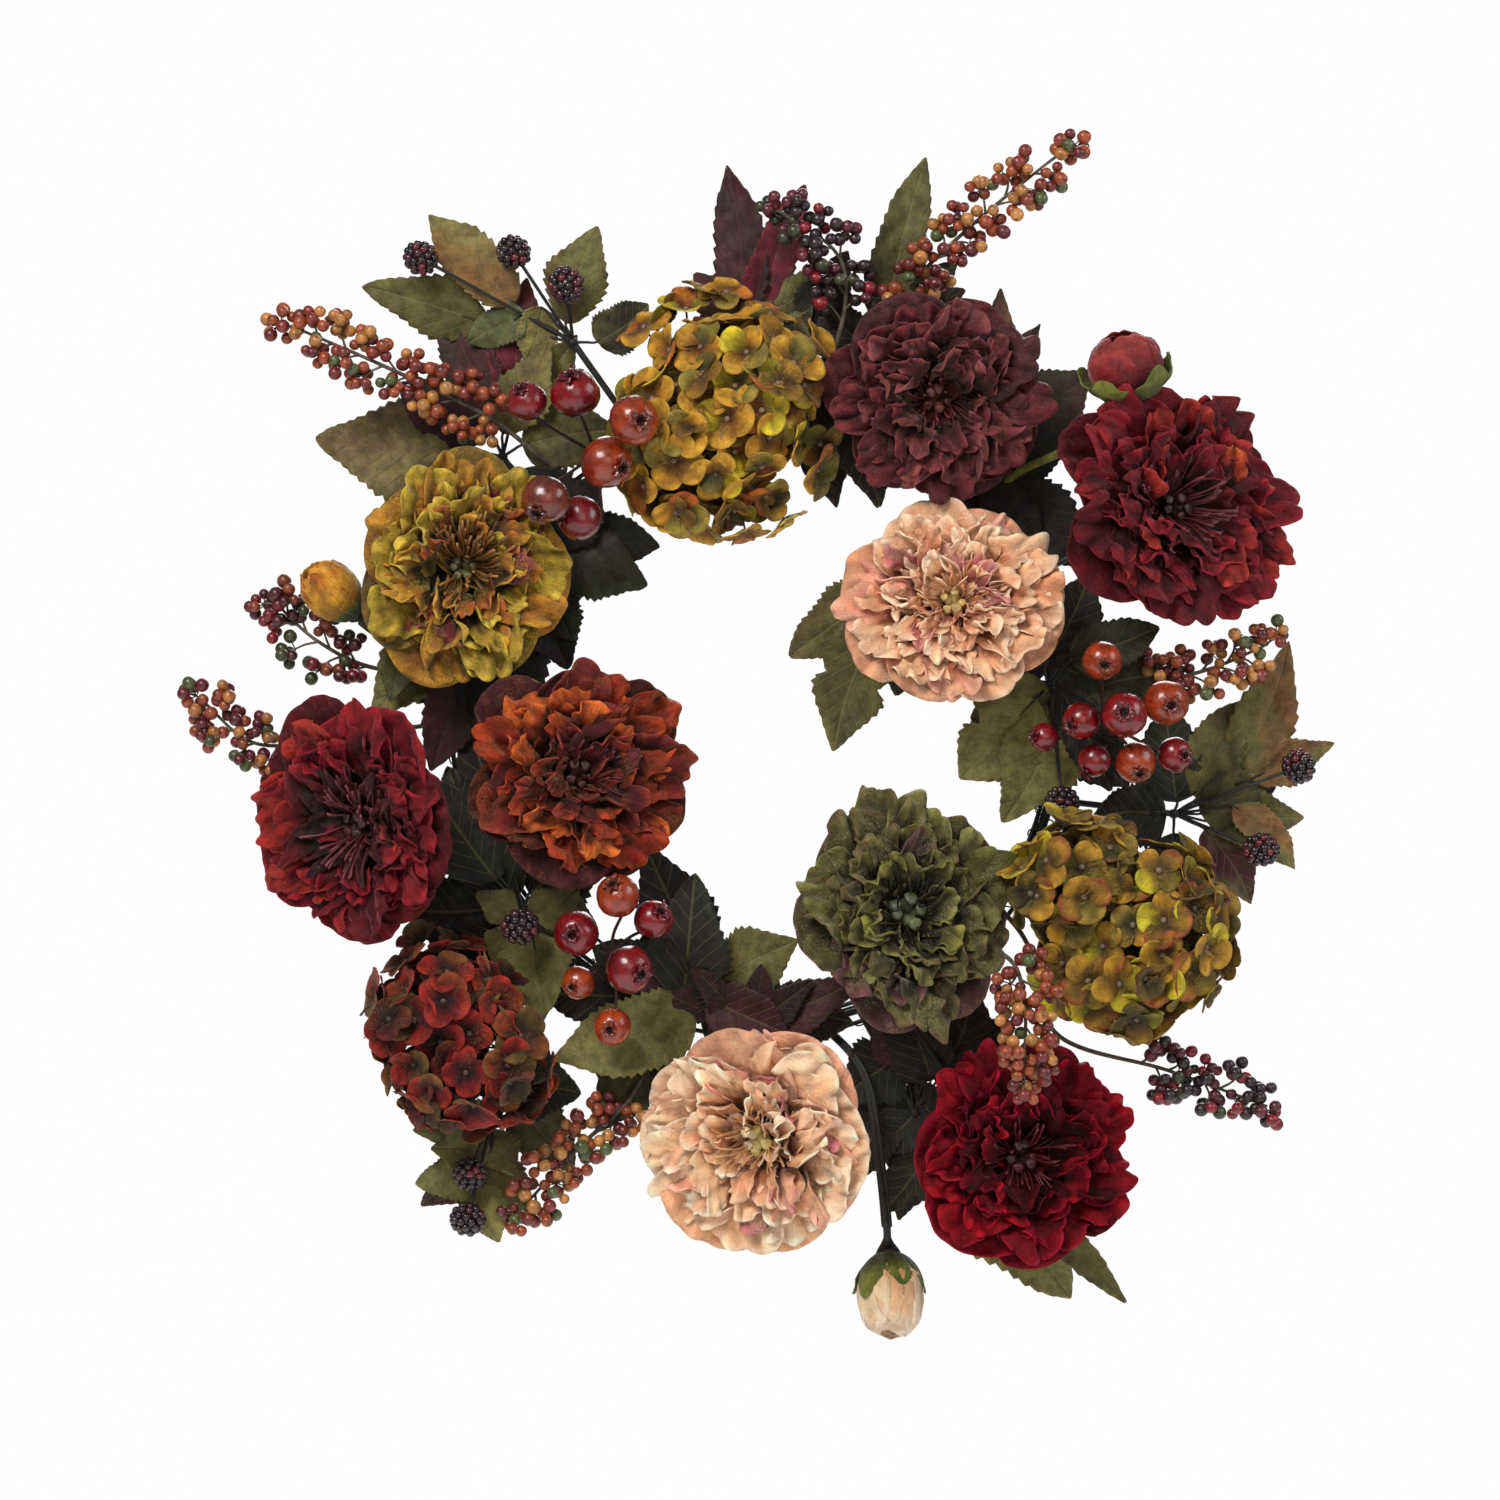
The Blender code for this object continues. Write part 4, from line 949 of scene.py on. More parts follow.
def add_carpels(shell, centre, axes, rng, count, colours, spread=3.4, radius=3.0):
    for i in range(count):
        outward, _ = spokes(axes, 2 * PI * i / count + rng.uniform(-0.3, 0.3))
        place = centre + outward * spread + axes[2] * rng.uniform(1, 4)
        lean = unit(axes[2] + outward * rng.uniform(0.25, 0.6))
        colour = shade(rng, pick(rng, colours), 0.15)
        size = radius * rng.uniform(0.85, 1.15)
        # painted shade: each carpel is darker at its foot, down in the heart, and lighter towards its
        # top
        shell.lathe(CARPEL_PROFILE * (size / 3.0), place, facing(lean),
                    lambda local, up: np.outer(0.65 + 0.55 * up, colour), 12, 1, tag=i,
                    wobble=lambda b, h: 1 + 0.10 * np.sin(3 * b) + 0.05 * np.sin(5 * b + h))


def peony_stalk(name, neck, axes):
    """A taped wire stem that widens into the calyx, with six sepals behind the head."""
    rng = seeded(name + "stalk")
    shell = Shell()
    tie = foot(PEONIES[name][0])
    axis = axes[2]
    first = tie + (0, -10, 0)
    back = neck - axis * 14
    middle = (first + back) / 2 + (0, -3, 0)
    path = smooth_path([tie, first, middle, back, neck - axis * 7, neck - axis * 0.4], 40)
    shell.tube(path, np.interp(lengths_left(path), (0, 2.5, 6, 10, 15, 200),
                               (11.5, 11.0, 8.6, 5.0, STEM, STEM)), 14)
    greens = tints((1, .30, .32, .14), (1, .20, .22, .10))
    for i in range(6):
        azimuth = 2 * PI * i / 6 + rng.uniform(-0.2, 0.2)
        c = pick(rng, greens)
        petal(shell, neck - axis * 3.0, axes, azimuth, rng.uniform(17, 25), rng.uniform(6.5, 9),
              62, 92, rng, (c * 0.8, c, c * 0.7), r0=7.5, cup=0.5, ruffle=1.0, notch=0.0,
              point=0.35, thick=0.6, rows=12, columns=9, tips=0.5, mat=1, waist=0.6)
    shell.build(name + "_stalk", [TAPE, SEPAL], name + "_pick", name + "_stem", "dark_stem")


def peony(name, finish, layers, heart_height, threads, carpels):
    """Layers of petals from the guard petals in, then stamens and carpels, then the stalk."""
    rng = seeded(name)
    neck, axes, local = head_frame(name)
    half_x, half_y = np.abs(local[:, 0]).max(), np.abs(local[:, 1]).max()
    radius = (half_x + half_y) / 2
    _, wide, tall, right, up = PEONIES[name]
    neck = neck + axes[0] * right + axes[1] * up
    stretch = (half_x / radius * wide, half_y / radius * tall)
    petals, heart = Shell(), Shell()
    for ring in layers:
        add_layer(petals, neck, axes, radius, stretch, ring, rng)
    slot = "petal_" + finish
    petals.build(name + "_petals", [PETAL[finish]], name + "_pick", name, slot)
    centre = neck + axes[2] * heart_height
    add_threads(heart, centre, axes, stretch, rng, **threads)
    add_carpels(heart, centre, axes, rng, **carpels)
    heart.build(name + "_heart", [THREAD, CARPEL], name + "_pick", name, slot)
    peony_stalk(name, neck, axes)


def peony_gold():
    """Lime velvet and mustard silk with rust and burgundy accents."""
    lime = look((.24, .16, .03), (.56, .45, .09), (.74, .66, .24), (.66, .57, .20))
    mustard = look((.28, .13, .03), (.55, .35, .08), (.68, .52, .17))
    olive = look((.20, .15, .05), (.40, .31, .10), (.56, .46, .17))
    rust = look((.28, .09, .04), (.54, .22, .08), (.64, .36, .14))
    wine = look((.20, .04, .06), (.38, .09, .14), (.46, .16, .19))
    peony("peony_gold", "gold", ruffled(
        [(3, olive), (3, mustard), (1, wine)],
        [(4, lime), (3, mustard), (.5, wine), (1, rust)],
        [(5, lime), (4, mustard), (1.6, rust), (.3, wine)],
        [(3, lime), (4, mustard), (2.5, rust)],
        [(2, lime), (4, mustard), (2, rust)]), 10,
        dict(count=90, tilt=(6, 50), length=(20, 33), curl=.12, radius=.5,
             colours=tints((1, .62, .46, .24), (1, .50, .35, .17)), bunch=(1.5, 1.9, 1.2, 0.2, 4.6)),
        dict(count=6, colours=tints((1, .46, .46, .30), (1, .38, .38, .24)), spread=3.2, radius=2.5))


def peony_burgundy():
    """Dusty rose velvet over brown-red."""
    rose = look((.10, .02, .03), (.32, .09, .10), (.50, .25, .24), (.46, .21, .21))
    wine = look((.08, .02, .02), (.27, .04, .06), (.40, .13, .14))
    plum = look((.08, .02, .04), (.23, .06, .09), (.34, .15, .18))
    brown = look((.10, .03, .02), (.30, .10, .08), (.44, .21, .17))
    peony("peony_burgundy", "burgundy", ruffled(
        [(2, plum), (2, wine), (1, rose)], [(3, rose), (4, wine), (1, plum)],
        [(3, rose), (5, wine), (1.4, brown)], [(2, rose), (3, wine), (3, brown)],
        [(3, wine), (4, brown)]), 9,
        dict(count=44, tilt=(8, 55), length=(14, 24), radius=.5,
             colours=tints((1, .40, .16, .14), (1, .28, .09, .08))),
        dict(count=5, colours=tints((1, .38, .17, .12), (1, .26, .10, .08)), radius=3.2))


def peony_red_right():
    """Crimson with warm lights, long thread stamens over a dark heart and one orange petal."""
    red = look((.05, .01, .02), (.40, .02, .06), (.58, .12, .15), (.56, .12, .15))
    warm = look((.12, .02, .02), (.50, .07, .06), (.70, .25, .17))
    deep = look((.05, .01, .02), (.27, .02, .04), (.46, .08, .10))
    dark = look((.03, .01, .02), (.11, .02, .03), (.24, .05, .07))
    orange = look((.24, .05, .02), (.66, .24, .08), (.84, .48, .20), (.70, .30, .12))
    peony("peony_red_right", "red", ruffled(
        [(3, deep), (3, red)], [(4, red), (3, deep), (.8, warm)],
        [(4, red), (3, deep), (1.2, warm)], [(3, red), (3, deep), (.8, warm)],
        [(1, dark), (1, deep)]) + [
        layer(3, .46, .20, 30, 66, [(1, orange)], PUFF, ring=.40, h0=20, start=.75, scatter=.02,
              kept=1)], 11,
        dict(count=66, tilt=(8, 62), length=(20, 31), curl=.18, radius=.55, fork=True,
             colours=tints((1, .52, .23, .25), (1, .38, .13, .15))),
        dict(count=5, colours=tints((1, .34, .13, .15), (1, .22, .09, .11)), radius=3.4))


def peony_peach_top():
    """Many small scalloped petals with orange bases and cream tips."""
    cream = look((.86, .48, .32), (.96, .74, .56), (.99, .89, .78), (.99, .90, .80))
    orange = look((.76, .38, .24), (.92, .64, .47), (.97, .83, .71))
    pink = look((.66, .30, .22), (.89, .60, .50), (.95, .78, .70))
    mauve = look((.60, .28, .24), (.76, .44, .42), (.88, .66, .62))
    sand = look((.56, .32, .20), (.82, .60, .45), (.90, .74, .60))
    peony("peony_peach_top", "peach", [
        layer(8, 1.03, .50, 52, 94, [(2, sand), (2, orange), (2, pink), (2, cream)], GUARD,
              notch=.04, teeth=3, deep=.6),
        layer(13, .97, .32, 46, 84, [(4, cream), (2, orange), (1.5, pink)], OUTER, pucker=1.2,
              deep=.55, bright=.12),
        layer(24, .46, .15, 34, 78, [(5, cream), (2, orange), (1, pink), (.5, mauve)], SCALLOP,
              ring=.44, h0=11),
        layer(24, .44, .14, 24, 72, [(5, cream), (2, orange), (1.2, pink), (.8, mauve)], SCALLOP,
              ring=.33, h0=13),
        layer(22, .40, .13, 14, 62, [(4, cream), (3, orange), (.8, mauve)], SCALLOP, pucker=1.0,
              ring=.23, h0=12),
        layer(12, .40, .11, 10, 46, [(4, cream), (4, orange), (.8, mauve)], HEART, deep=.5)], 9,
        dict(count=40, tilt=(10, 55), length=(14, 24),
             colours=tints((1, .93, .72, .52), (1, .86, .62, .42))),
        dict(count=5, colours=tints((1, .90, .84, .56), (1, .86, .78, .52)), spread=3.0, radius=2.8))


def peony_red_left():
    """Ruffled crimson and orange outside, pointed charcoal-maroon petals in the heart."""
    red = look((.05, .01, .02), (.41, .02, .06), (.60, .10, .13), (.56, .10, .13))
    warm = look((.12, .02, .02), (.50, .06, .05), (.70, .24, .15))
    deep = look((.05, .01, .02), (.28, .02, .04), (.46, .07, .08))
    dark = look((.03, .01, .02), (.14, .04, .06), (.25, .10, .12))
    peony("peony_red_left", "red", [
        layer(7, 1.03, .54, 56, 94, [(3, deep), (3, red)], GUARD),
        layer(12, .97, .36, 46, 84, [(4, red), (2, deep), (2, warm)], OUTER),
        layer(22, .46, .18, 34, 76, [(4, red), (1.6, warm), (2, deep)], PUFF, ring=.44, h0=11),
        layer(14, .44, .16, 26, 70, [(3, red), (2, deep), (1, warm)], PUFF, ring=.36, h0=14),
        layer(18, .62, .11, 18, 62, [(1, deep), (6, dark)], POINTED, cup=.7, r0=9, h0=6),
        layer(14, .50, .10, 12, 54, [(1, deep), (6, dark)], POINTED, cup=.6)], 11,
        dict(count=64, tilt=(10, 56), length=(18, 29), curl=.1, radius=.5,
             colours=tints((1, .56, .27, .28), (1, .42, .17, .19)), bunch=(1.5, 1.8, 4.6, 4.9, 0.4)),
        dict(count=5, colours=tints((1, .34, .14, .16), (1, .24, .10, .12)), radius=3.2))


def peony_orange():
    """Thumb shaped copper petals round a wine heart, with dark brown guards."""
    copper = look((.22, .05, .02), (.56, .23, .08), (.76, .45, .20), (.70, .38, .16))
    rust = look((.16, .03, .02), (.46, .13, .06), (.62, .27, .12))
    wine = look((.08, .02, .03), (.30, .05, .07), (.44, .14, .13), (.50, .22, .20))
    brown = look((.07, .02, .02), (.20, .07, .06), (.32, .14, .10))
    plum = look((.07, .02, .04), (.22, .07, .11), (.34, .16, .20))
    peony("peony_orange", "copper", [
        layer(7, 1.02, .52, 56, 92, [(4, brown), (2, plum)], GUARD),
        layer(11, .97, .34, 44, 82, [(3, rust), (2, copper), (1, brown), (1, wine)], OUTER),
        layer(20, .50, .14, 38, 80, [(5, copper), (4, rust)], THUMB, ring=.42, h0=12),
        layer(18, .48, .14, 28, 72, [(4, copper), (4, rust), (2, wine)], THUMB, ring=.33, h0=15),
        layer(16, .42, .15, 14, 60, [(6, wine), (1, rust), (1, plum)], PUFF, ring=.24, h0=14),
        layer(14, .44, .12, 10, 48, [(6, wine), (3, plum)], HEART, h0=6)], 9,
        dict(count=40, tilt=(8, 55), length=(14, 24),
             colours=tints((1, .42, .15, .17), (1, .26, .09, .11))),
        dict(count=5, colours=tints((1, .26, .11, .14), (1, .20, .09, .12))))


def peony_olive():
    """Velvet outside, small yellow-green petals inside, burgundy accents, black threads."""
    olive = look((.07, .07, .03), (.22, .21, .10), (.44, .41, .24), (.36, .25, .20))
    lime = look((.12, .13, .04), (.35, .35, .11), (.52, .51, .22))
    plum = look((.09, .03, .05), (.24, .10, .14), (.44, .28, .30), (.42, .26, .28))
    green = look((.08, .08, .03), (.27, .27, .11), (.47, .46, .26))
    peony("peony_olive", "olive", ruffled(
        [(4, olive), (2, plum)], [(6, olive), (2, green), (1.2, plum)],
        [(4, olive), (4, green), (.4, plum)], [(4, green), (4, lime), (.3, plum)],
        [(1, green), (5, lime)]) + [
        layer(8, .44, .12, 20, 58, [(2, green), (5, lime)], HEART, r0=9, h0=5, deep=.04)], 11,
        dict(count=70, tilt=(10, 62), length=(18, 30), radius=.40, curl=.35,
             colours=tints((3, .09, .08, .05), (1, .30, .28, .14))),
        dict(count=5, colours=tints((1, .42, .46, .35), (1, .34, .38, .28)), spread=4.2, radius=3.8))


def peony_peach_bottom():
    """Broad silk petals, mauve-pink tips, cream threads."""
    cream = look((.86, .52, .34), (.96, .76, .57), (.99, .89, .77), (.99, .90, .79))
    orange = look((.78, .44, .26), (.92, .68, .49), (.96, .82, .69))
    mauve = look((.74, .46, .30), (.91, .70, .54), (.80, .46, .47))
    pink = look((.66, .36, .27), (.89, .62, .52), (.94, .77, .69))
    peony("peony_peach_bottom", "peach", [
        layer(8, 1.03, .56, 52, 94, [(5, cream), (3, orange), (1.5, mauve)], GUARD, tips=.35,
              deep=.6),
        layer(11, .97, .38, 46, 84, [(5, cream), (2, mauve), (1, pink), (1, orange)], OUTER,
              pucker=1.3, deep=.55, bright=.12),
        layer(18, .50, .20, 34, 78, [(5, cream), (1.6, mauve), (1, pink), (1, orange)], BROAD,
              ring=.42, h0=11),
        layer(16, .46, .18, 24, 72, [(5, cream), (1.4, mauve), (2, orange)], BROAD, ring=.32,
              h0=14),
        layer(12, .40, .15, 14, 60, [(4, cream), (3, orange)], BROAD, pucker=1.1, ring=.24, h0=13),
        layer(8, .34, .12, 14, 44, [(4, cream), (3, orange)], HEART, deep=.5)], 9,
        dict(count=60, tilt=(14, 64), length=(17, 28), curl=.4,
             colours=tints((1, .90, .72, .50), (1, .82, .60, .38))),
        dict(count=5, colours=tints((1, .88, .82, .52), (1, .92, .88, .74)), spread=3.6, radius=3.3))


def peony_crimson():
    """Deep red with bright tips and pink rims."""
    red = look((.04, .00, .01), (.35, .00, .05), (.56, .03, .11), (.60, .10, .18))
    bright = look((.08, .00, .02), (.43, .01, .06), (.66, .08, .14))
    deep = look((.02, .00, .01), (.19, .00, .03), (.36, .01, .06))
    plum = look((.05, .02, .03), (.17, .04, .07), (.28, .10, .13))
    peony("peony_crimson", "crimson", ruffled(
        [(4, red), (2, deep)], [(4, red), (2, bright), (1, deep)],
        [(4, red), (1.6, bright), (2, deep), (.4, plum)], [(4, red), (.8, bright), (2, deep)],
        [(2, red), (3, deep)], size=1.1, more=(20, 18, 13)), 9,
        dict(count=56, tilt=(12, 62), length=(18, 29), curl=.35, radius=.5,
             colours=tints((1, .48, .22, .22), (1, .36, .13, .15))),
        dict(count=6, colours=tints((1, .36, .15, .19), (1, .26, .12, .14)), spread=3.8, radius=3.2))


for build_peony in (peony_gold, peony_burgundy, peony_red_right, peony_peach_top, peony_red_left,
                    peony_orange, peony_olive, peony_peach_bottom, peony_crimson):
    build_peony()


# ------------------------------------------------------------------ hydrangeas
def floret(shell, place, normal, size, rng, looks, centre):
    """Four broad petals round a small button."""
    axes = facing(normal)
    turn = rng.uniform(0, 2 * PI)
    opening = rng.uniform(52, 88)
    for i in range(4):
        base, body, tip = pick(rng, looks)
        body = shade(rng, body, 0.12, 0.04)
        # deep=0.42 paints shade towards each petal's root
        petal(shell, place, axes, turn + i * PI / 2 + rng.uniform(-0.12, 0.12),
              size * rng.uniform(0.9, 1.08), size * 0.54 * rng.uniform(0.9, 1.1), opening - 6,
              opening + rng.uniform(8, 30), rng, r0=0.8, h0=0.6, cup=rng.uniform(0.25, 0.7),
              ruffle=0.8, waves=1.2, notch=0.03, teeth=1.3, thick=0.45, rows=11, columns=9,
              waist=0.34, colours=(shade(rng, base), body, shade(rng, tip)), tips=0.8,
              edge=tip * 0.8, pleat=0.22, pucker=0.3, twist=rng.uniform(-0.2, 0.2), deep=0.42)
    shell.ball(place + axes[2] * 1.3, (1.7, 1.7, 1.3), centre * rng.uniform(0.8, 1.15), axes, 1,
               tag=rng.uniform(0, 9), fine=False)


def floret_seats(name, points, count, spacing, rng):
    """Up to count points and normals on the CAD surface, at least spacing apart."""
    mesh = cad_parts[name].data
    mesh.calc_loop_triangles()
    corners = np.array([t.vertices[:] for t in mesh.loop_triangles])
    a, b, c = (points[corners[:, k]] for k in range(3))
    cross = np.cross(b - a, c - a)
    area = np.linalg.norm(cross, axis=1) / 2
    normal = cross / np.maximum(2 * area[:, None], 1e-9)
    # fewer florets behind, where the head meets the wreath
    back = normal[:, 1]
    weight = area * np.where(back > 0.35, 0.10, np.where(back > 0, 0.6, 1.0))
    tries = 9000
    picks = rng.choice(len(corners), size=tries, p=weight / weight.sum())
    u = rng.uniform(size=(tries, 2))
    flip = u.sum(1) > 1
    u[flip] = 1 - u[flip]
    places = a[picks] + (b - a)[picks] * u[:, :1] + (c - a)[picks] * u[:, 1:]
    seats = []
    for place, k in zip(places, picks):
        if all(np.linalg.norm(place - other) > spacing for other, _ in seats):
            seats.append((place, normal[k]))
        if len(seats) >= count:
            break
    return seats


def hydrangea(name, finish, looks, centre, count, size, foot_angle, more):
    """A head of florets over its CAD surface; more lists places of extra ones."""
    rng = seeded(name)
    points = cad_vertices(name)
    seats = floret_seats(name, points, count, size * 1.08, rng)
    middle = points.mean(0)
    for place in more:
        place = np.array(place, float)
        seats.append((place, unit(place - middle + (0, -34, 0))))
    hub = np.array((middle[0], points[:, 1].max() - 3.0, middle[2]))
    florets, stalks = Shell(), Shell()
    for place, normal in seats:
        out = unit(normal + 0.35 * unit(place - hub) + rng.normal(0, 0.26, 3))
        seat = place - normal * rng.uniform(0.5, 7.0)
        floret(florets, seat, out, size * rng.uniform(0.86, 1.12), rng, looks, centre)
        path = smooth_path([hub + rng.normal(0, 2, 3), (hub + seat) / 2 + rng.normal(0, 3, 3),
                            seat - out * 3, seat], 12)
        stalks.tube(path, 0.62, 6, shade(rng, WHITE, 0.2), tag=rng.uniform(0, 9))
    # a second, deeper set of florets fills the shadows between the first; their petal and button
    # colours are darkened to about 0.4 and 0.6 as painted shade
    dim = [(weight, (base * 0.40, body * 0.36, tip * 0.40)) for weight, (base, body, tip) in looks]
    for place, normal in seats:
        seat = place + rng.normal(0, 7, 3) - normal * rng.uniform(9, 15)
        out = unit(normal + rng.normal(0, 0.55, 3))
        floret(florets, seat, out, size * rng.uniform(0.75, 0.95), rng, dim, centre * 0.6)
    slot = name.replace("hydrangea", "floret")
    florets.build(name + "_florets", [PETAL[finish], CARPEL], "wreath", name, slot)
    stalks.ball(hub, (5, 4, 5))
    stalks.build(name + "_stalks", [TWIG], "wreath", name, slot)
    stem = Shell()
    tie = foot(foot_angle)
    path = [tie, tie + (0, -6, 0), (tie + hub) / 2 + (0, -1, 0), hub + (0, 5, 0), hub]
    radii = np.interp(np.arange(30), (0, 22, 29), (STEM, STEM, STEM * 1.8))
    stem.tube(smooth_path(path, 30), radii, 12)
    stem.build(name + "_stalk", [TAPE], "wreath", name + "_stem", "dark_stem")


hydrangea("hydrangea_yellow", "yellow", [
    (6, look((.56, .32, .06), (.74, .52, .13), (.80, .60, .20))),
    (2.4, look((.40, .36, .11), (.52, .45, .17), (.60, .50, .22))),
    (1.6, look((.60, .28, .10), (.74, .44, .13), (.66, .26, .12))),
    (1.0, look((.56, .46, .04), (.76, .66, .08), (.86, .76, .22)))],
    lin(.56, .42, .36), count=66, size=14.6, foot_angle=104,
    more=((-40, -46, 216), (-18, -44, 220), (-60, -42, 202), (4, -42, 208), (-50, -46, 104),
          (-30, -52, 98), (-8, -54, 97), (12, -50, 103), (-40, -56, 112), (-18, -58, 108),
          (4, -56, 112), (28, -44, 192), (31, -46, 128)))
hydrangea("hydrangea_olive", "yellow", [
    (3.4, look((.34, .29, .09), (.50, .43, .15), (.62, .50, .20))),
    (4, look((.52, .36, .07), (.72, .53, .14), (.78, .60, .20))),
    (2.2, look((.46, .34, .09), (.62, .46, .15), (.58, .24, .15))),
    (1.6, look((.54, .46, .04), (.76, .68, .10), (.86, .80, .26)))],
    lin(.50, .42, .36), count=66, size=14.2, foot_angle=-29,
    more=((196, -66, -96), (184, -68, -78), (206, -66, -116), (174, -66, -100), (188, -66, -122)))
hydrangea("hydrangea_bronze", "bronze", [
    (8, look((.16, .02, .03), (.56, .08, .09), (.72, .20, .16))),
    (2.4, look((.24, .13, .05), (.48, .29, .12), (.60, .42, .20))),
    (2.4, look((.22, .19, .07), (.40, .34, .14), (.50, .42, .20))),
    (1.4, look((.30, .10, .05), (.56, .22, .10), (.68, .36, .16)))],
    lin(.42, .30, .26), count=58, size=14.2, foot_angle=222,
    more=((-152, -46, -110), (-158, -44, -134)))

# ------------------------------------------------------------------ buds
# radius and height of the core, as shares of the bud's
BUD_CORE = np.array([(0, 0.02), (0.45, 0.04), (0.80, 0.20), (0.90, 0.42), (0.80, 0.66),
                     (0.50, 0.86), (0.20, 0.93), (0, 0.94)])
# heights up a wrapped petal and its radius there
WRAP_HEIGHTS = (0, .08, .25, .45, .65, .82, .94, 1.0)
WRAP_RADII = (.30, .62, .92, 1.0, .97, .84, .60, .40)


def wrapped_petal(shell, neck, axes, radius, length, looks, azimuth, half_turn, ragged, lift, grow,
                  ring, rng):
    base, body, tip = looks[int(rng.integers(len(looks)))]
    s = np.linspace(0, 1, 16)[:, None]
    v = np.linspace(-1, 1, 13)[None, :]
    phase = rng.uniform(0, 2 * PI, 3)
    top = 1 - 0.10 * np.abs(v) ** 2 + ragged * np.sin(4 * v + phase[0])
    h = s * (top * rng.uniform(0.92, 1.03))
    r = radius * grow * np.interp(h, WRAP_HEIGHTS, WRAP_RADII) * (1 + 0.02 * ring)
    r = (r + (0.8 + 1.0 * rng.uniform()) * s ** 4 * np.abs(v)
         + 0.35 * np.sin(6 * v + phase[1]) * s + 0.25 * np.sin(9 * s + phase[2]))
    angle = azimuth + v * half_turn * (0.55 + 0.45 * np.sin(PI * (s * 0.7 + 0.12)))
    height = lift * length * 0.4 + h * length * (0.98 + 0.02 * ring)
    grid = np.stack((r * np.cos(angle), r * np.sin(angle), height), -1) @ axes + neck
    mix = ease(0.1, 0.7, s + 0 * v)[..., None]
    colour = base * (1 - mix) + shade(rng, body) * mix
    mix = ease(0.78, 1.0, s + 0.1 * np.abs(v))[..., None] * 0.75
    colour = colour * (1 - mix) + tip * mix
    coord = np.stack(np.broadcast_arrays(v * 1.2, s * 3, phase[0]), -1)
    shell.sheet(grid[:, ::-1], colour[:, ::-1], coord)


def bud(name, finish, looks, sepals, knots, foot_angle, stem, stem_radius, ragged, wide,
        tall=1.0, count=6, calyx=0.36, leaves=(), strands=0):
    """Wrapped petals round a solid core, on a stem that may be bound with strands.

    A sepal is (azimuth, length, width, start angle, end angle, display colour, curl).
    """
    rng = seeded(name)
    neck, axes, local = head_frame(name)
    radius, length = np.abs(local[:, :2]).max() * wide, local[:, 2].max() * tall
    petals = Shell()
    # the core is painted darker towards its foot, as shade inside the wrapped petals
    petals.lathe(BUD_CORE * (radius * 0.93, length), neck, axes,
                 lambda local, up: np.outer(0.35 + 0.5 * up, looks[0][1]), 20)
    # rings of wrapped petals: how many, how far lifted, share of the radius
    rings = ((count, 0.00, 1.02), (count - 1, 0.02, 0.97), (4, 0.05, 0.86), (3, 0.10, 0.66))
    for ring, (number, lift, grow) in enumerate(rings):
        for i in range(number):
            azimuth = 2 * PI * (i + 0.5 * ring) / number + rng.uniform(-0.15, 0.15)
            wrapped_petal(petals, neck, axes, radius, length, looks, azimuth,
                          2.5 * PI / number * 0.62, ragged, lift, grow, ring, rng)
    petals.build(name + "_petals", [PETAL[finish]], name + "_pick", name, name)

    stalk = Shell()
    axis = axes[2]
    points = [foot(foot_angle), *(np.array(k, float) for k in knots)]
    path = smooth_path(points + [neck - axis * 6, neck - axis * 0.5], 44)
    radii = (radius * 0.42, radius * 0.40, radius * 0.24, stem_radius, stem_radius)
    stalk.tube(path, np.interp(lengths_left(path), (0, 2, 5, 9, 300), radii), 12)
    for k in range(strands):
        turn = 2 * PI * k / strands + 0.4 + np.linspace(0, 1.1, len(path))
        shift = stem_radius * 0.82 * np.stack((np.cos(turn), np.sin(turn), 0 * turn), -1)
        stalk.tube((path + shift)[:-5], stem_radius * 0.60, 9, tag=float(k))
    for azimuth, long, width, start, end, colour, curl in sepals:
        c = lin(*colour)
        petal(stalk, neck - axis * 1.5, axes, azimuth, long, width, start, end, rng,
              (c * 0.9, c, c * 0.75), r0=radius * calyx, cup=0.9, ruffle=0.9, notch=0.0,
              point=0.45, thick=0.6, rows=18, columns=11, tips=0.4, mat=1, waist=0.55, curl=curl)
    for base, tip, width, colour in leaves:
        leaf(stalk, base, tip, width, rng, lin(*colour), mat=1)
    stalk.build(name + "_stalk", [stem, SEPAL], name + "_pick", name + "_stem", "bud_stem")


BUD_GREEN = (.44, .46, .16)
bud("bud_yellow", "bud_gold", [
    look((.44, .30, .06), (.70, .50, .13), (.62, .34, .10)),
    look((.50, .34, .08), (.76, .57, .17), (.72, .48, .16)),
    look((.44, .22, .06), (.66, .42, .12), (.52, .22, .08))],
    [(i * 2 * PI / 5 + 0.3, 14, 6.5, 60, 8, (.32, .36, .15), 0.25) for i in range(5)],
    ((-158, -22, 40), (-184, -40, 42), (-200, -47, 51)), 160, BLACK, 1.7, ragged=0.04, wide=1.06,
    leaves=(((-180, -37, 41), (-187, -45, 13), 17, (.30, .31, .16)),))
bud("bud_red", "bud_red", [
    look((.26, .05, .05), (.52, .11, .12), (.66, .25, .24)),
    look((.24, .04, .04), (.44, .08, .10), (.58, .19, .19)),
    look((.26, .05, .05), (.48, .10, .12), (.62, .22, .22))],
    [(0.2, 22, 12, 76, -12, BUD_GREEN, 0.1), (1.5, 21, 11, 76, -14, (.50, .50, .20), 0.1),
     (2.8, 23, 12, 76, -10, BUD_GREEN, 0.2), (4.1, 22, 12, 76, -12, (.46, .48, .17), 0.1),
     (5.3, 26, 11, 74, -2, (.40, .42, .16), 0.5)],
    ((128, -24, 128), (152, -44, 139), (168, -54, 146), (179, -60, 160)), 45, GREEN, 2.2,
    ragged=0.03, wide=1.08, tall=0.80, calyx=0.66)
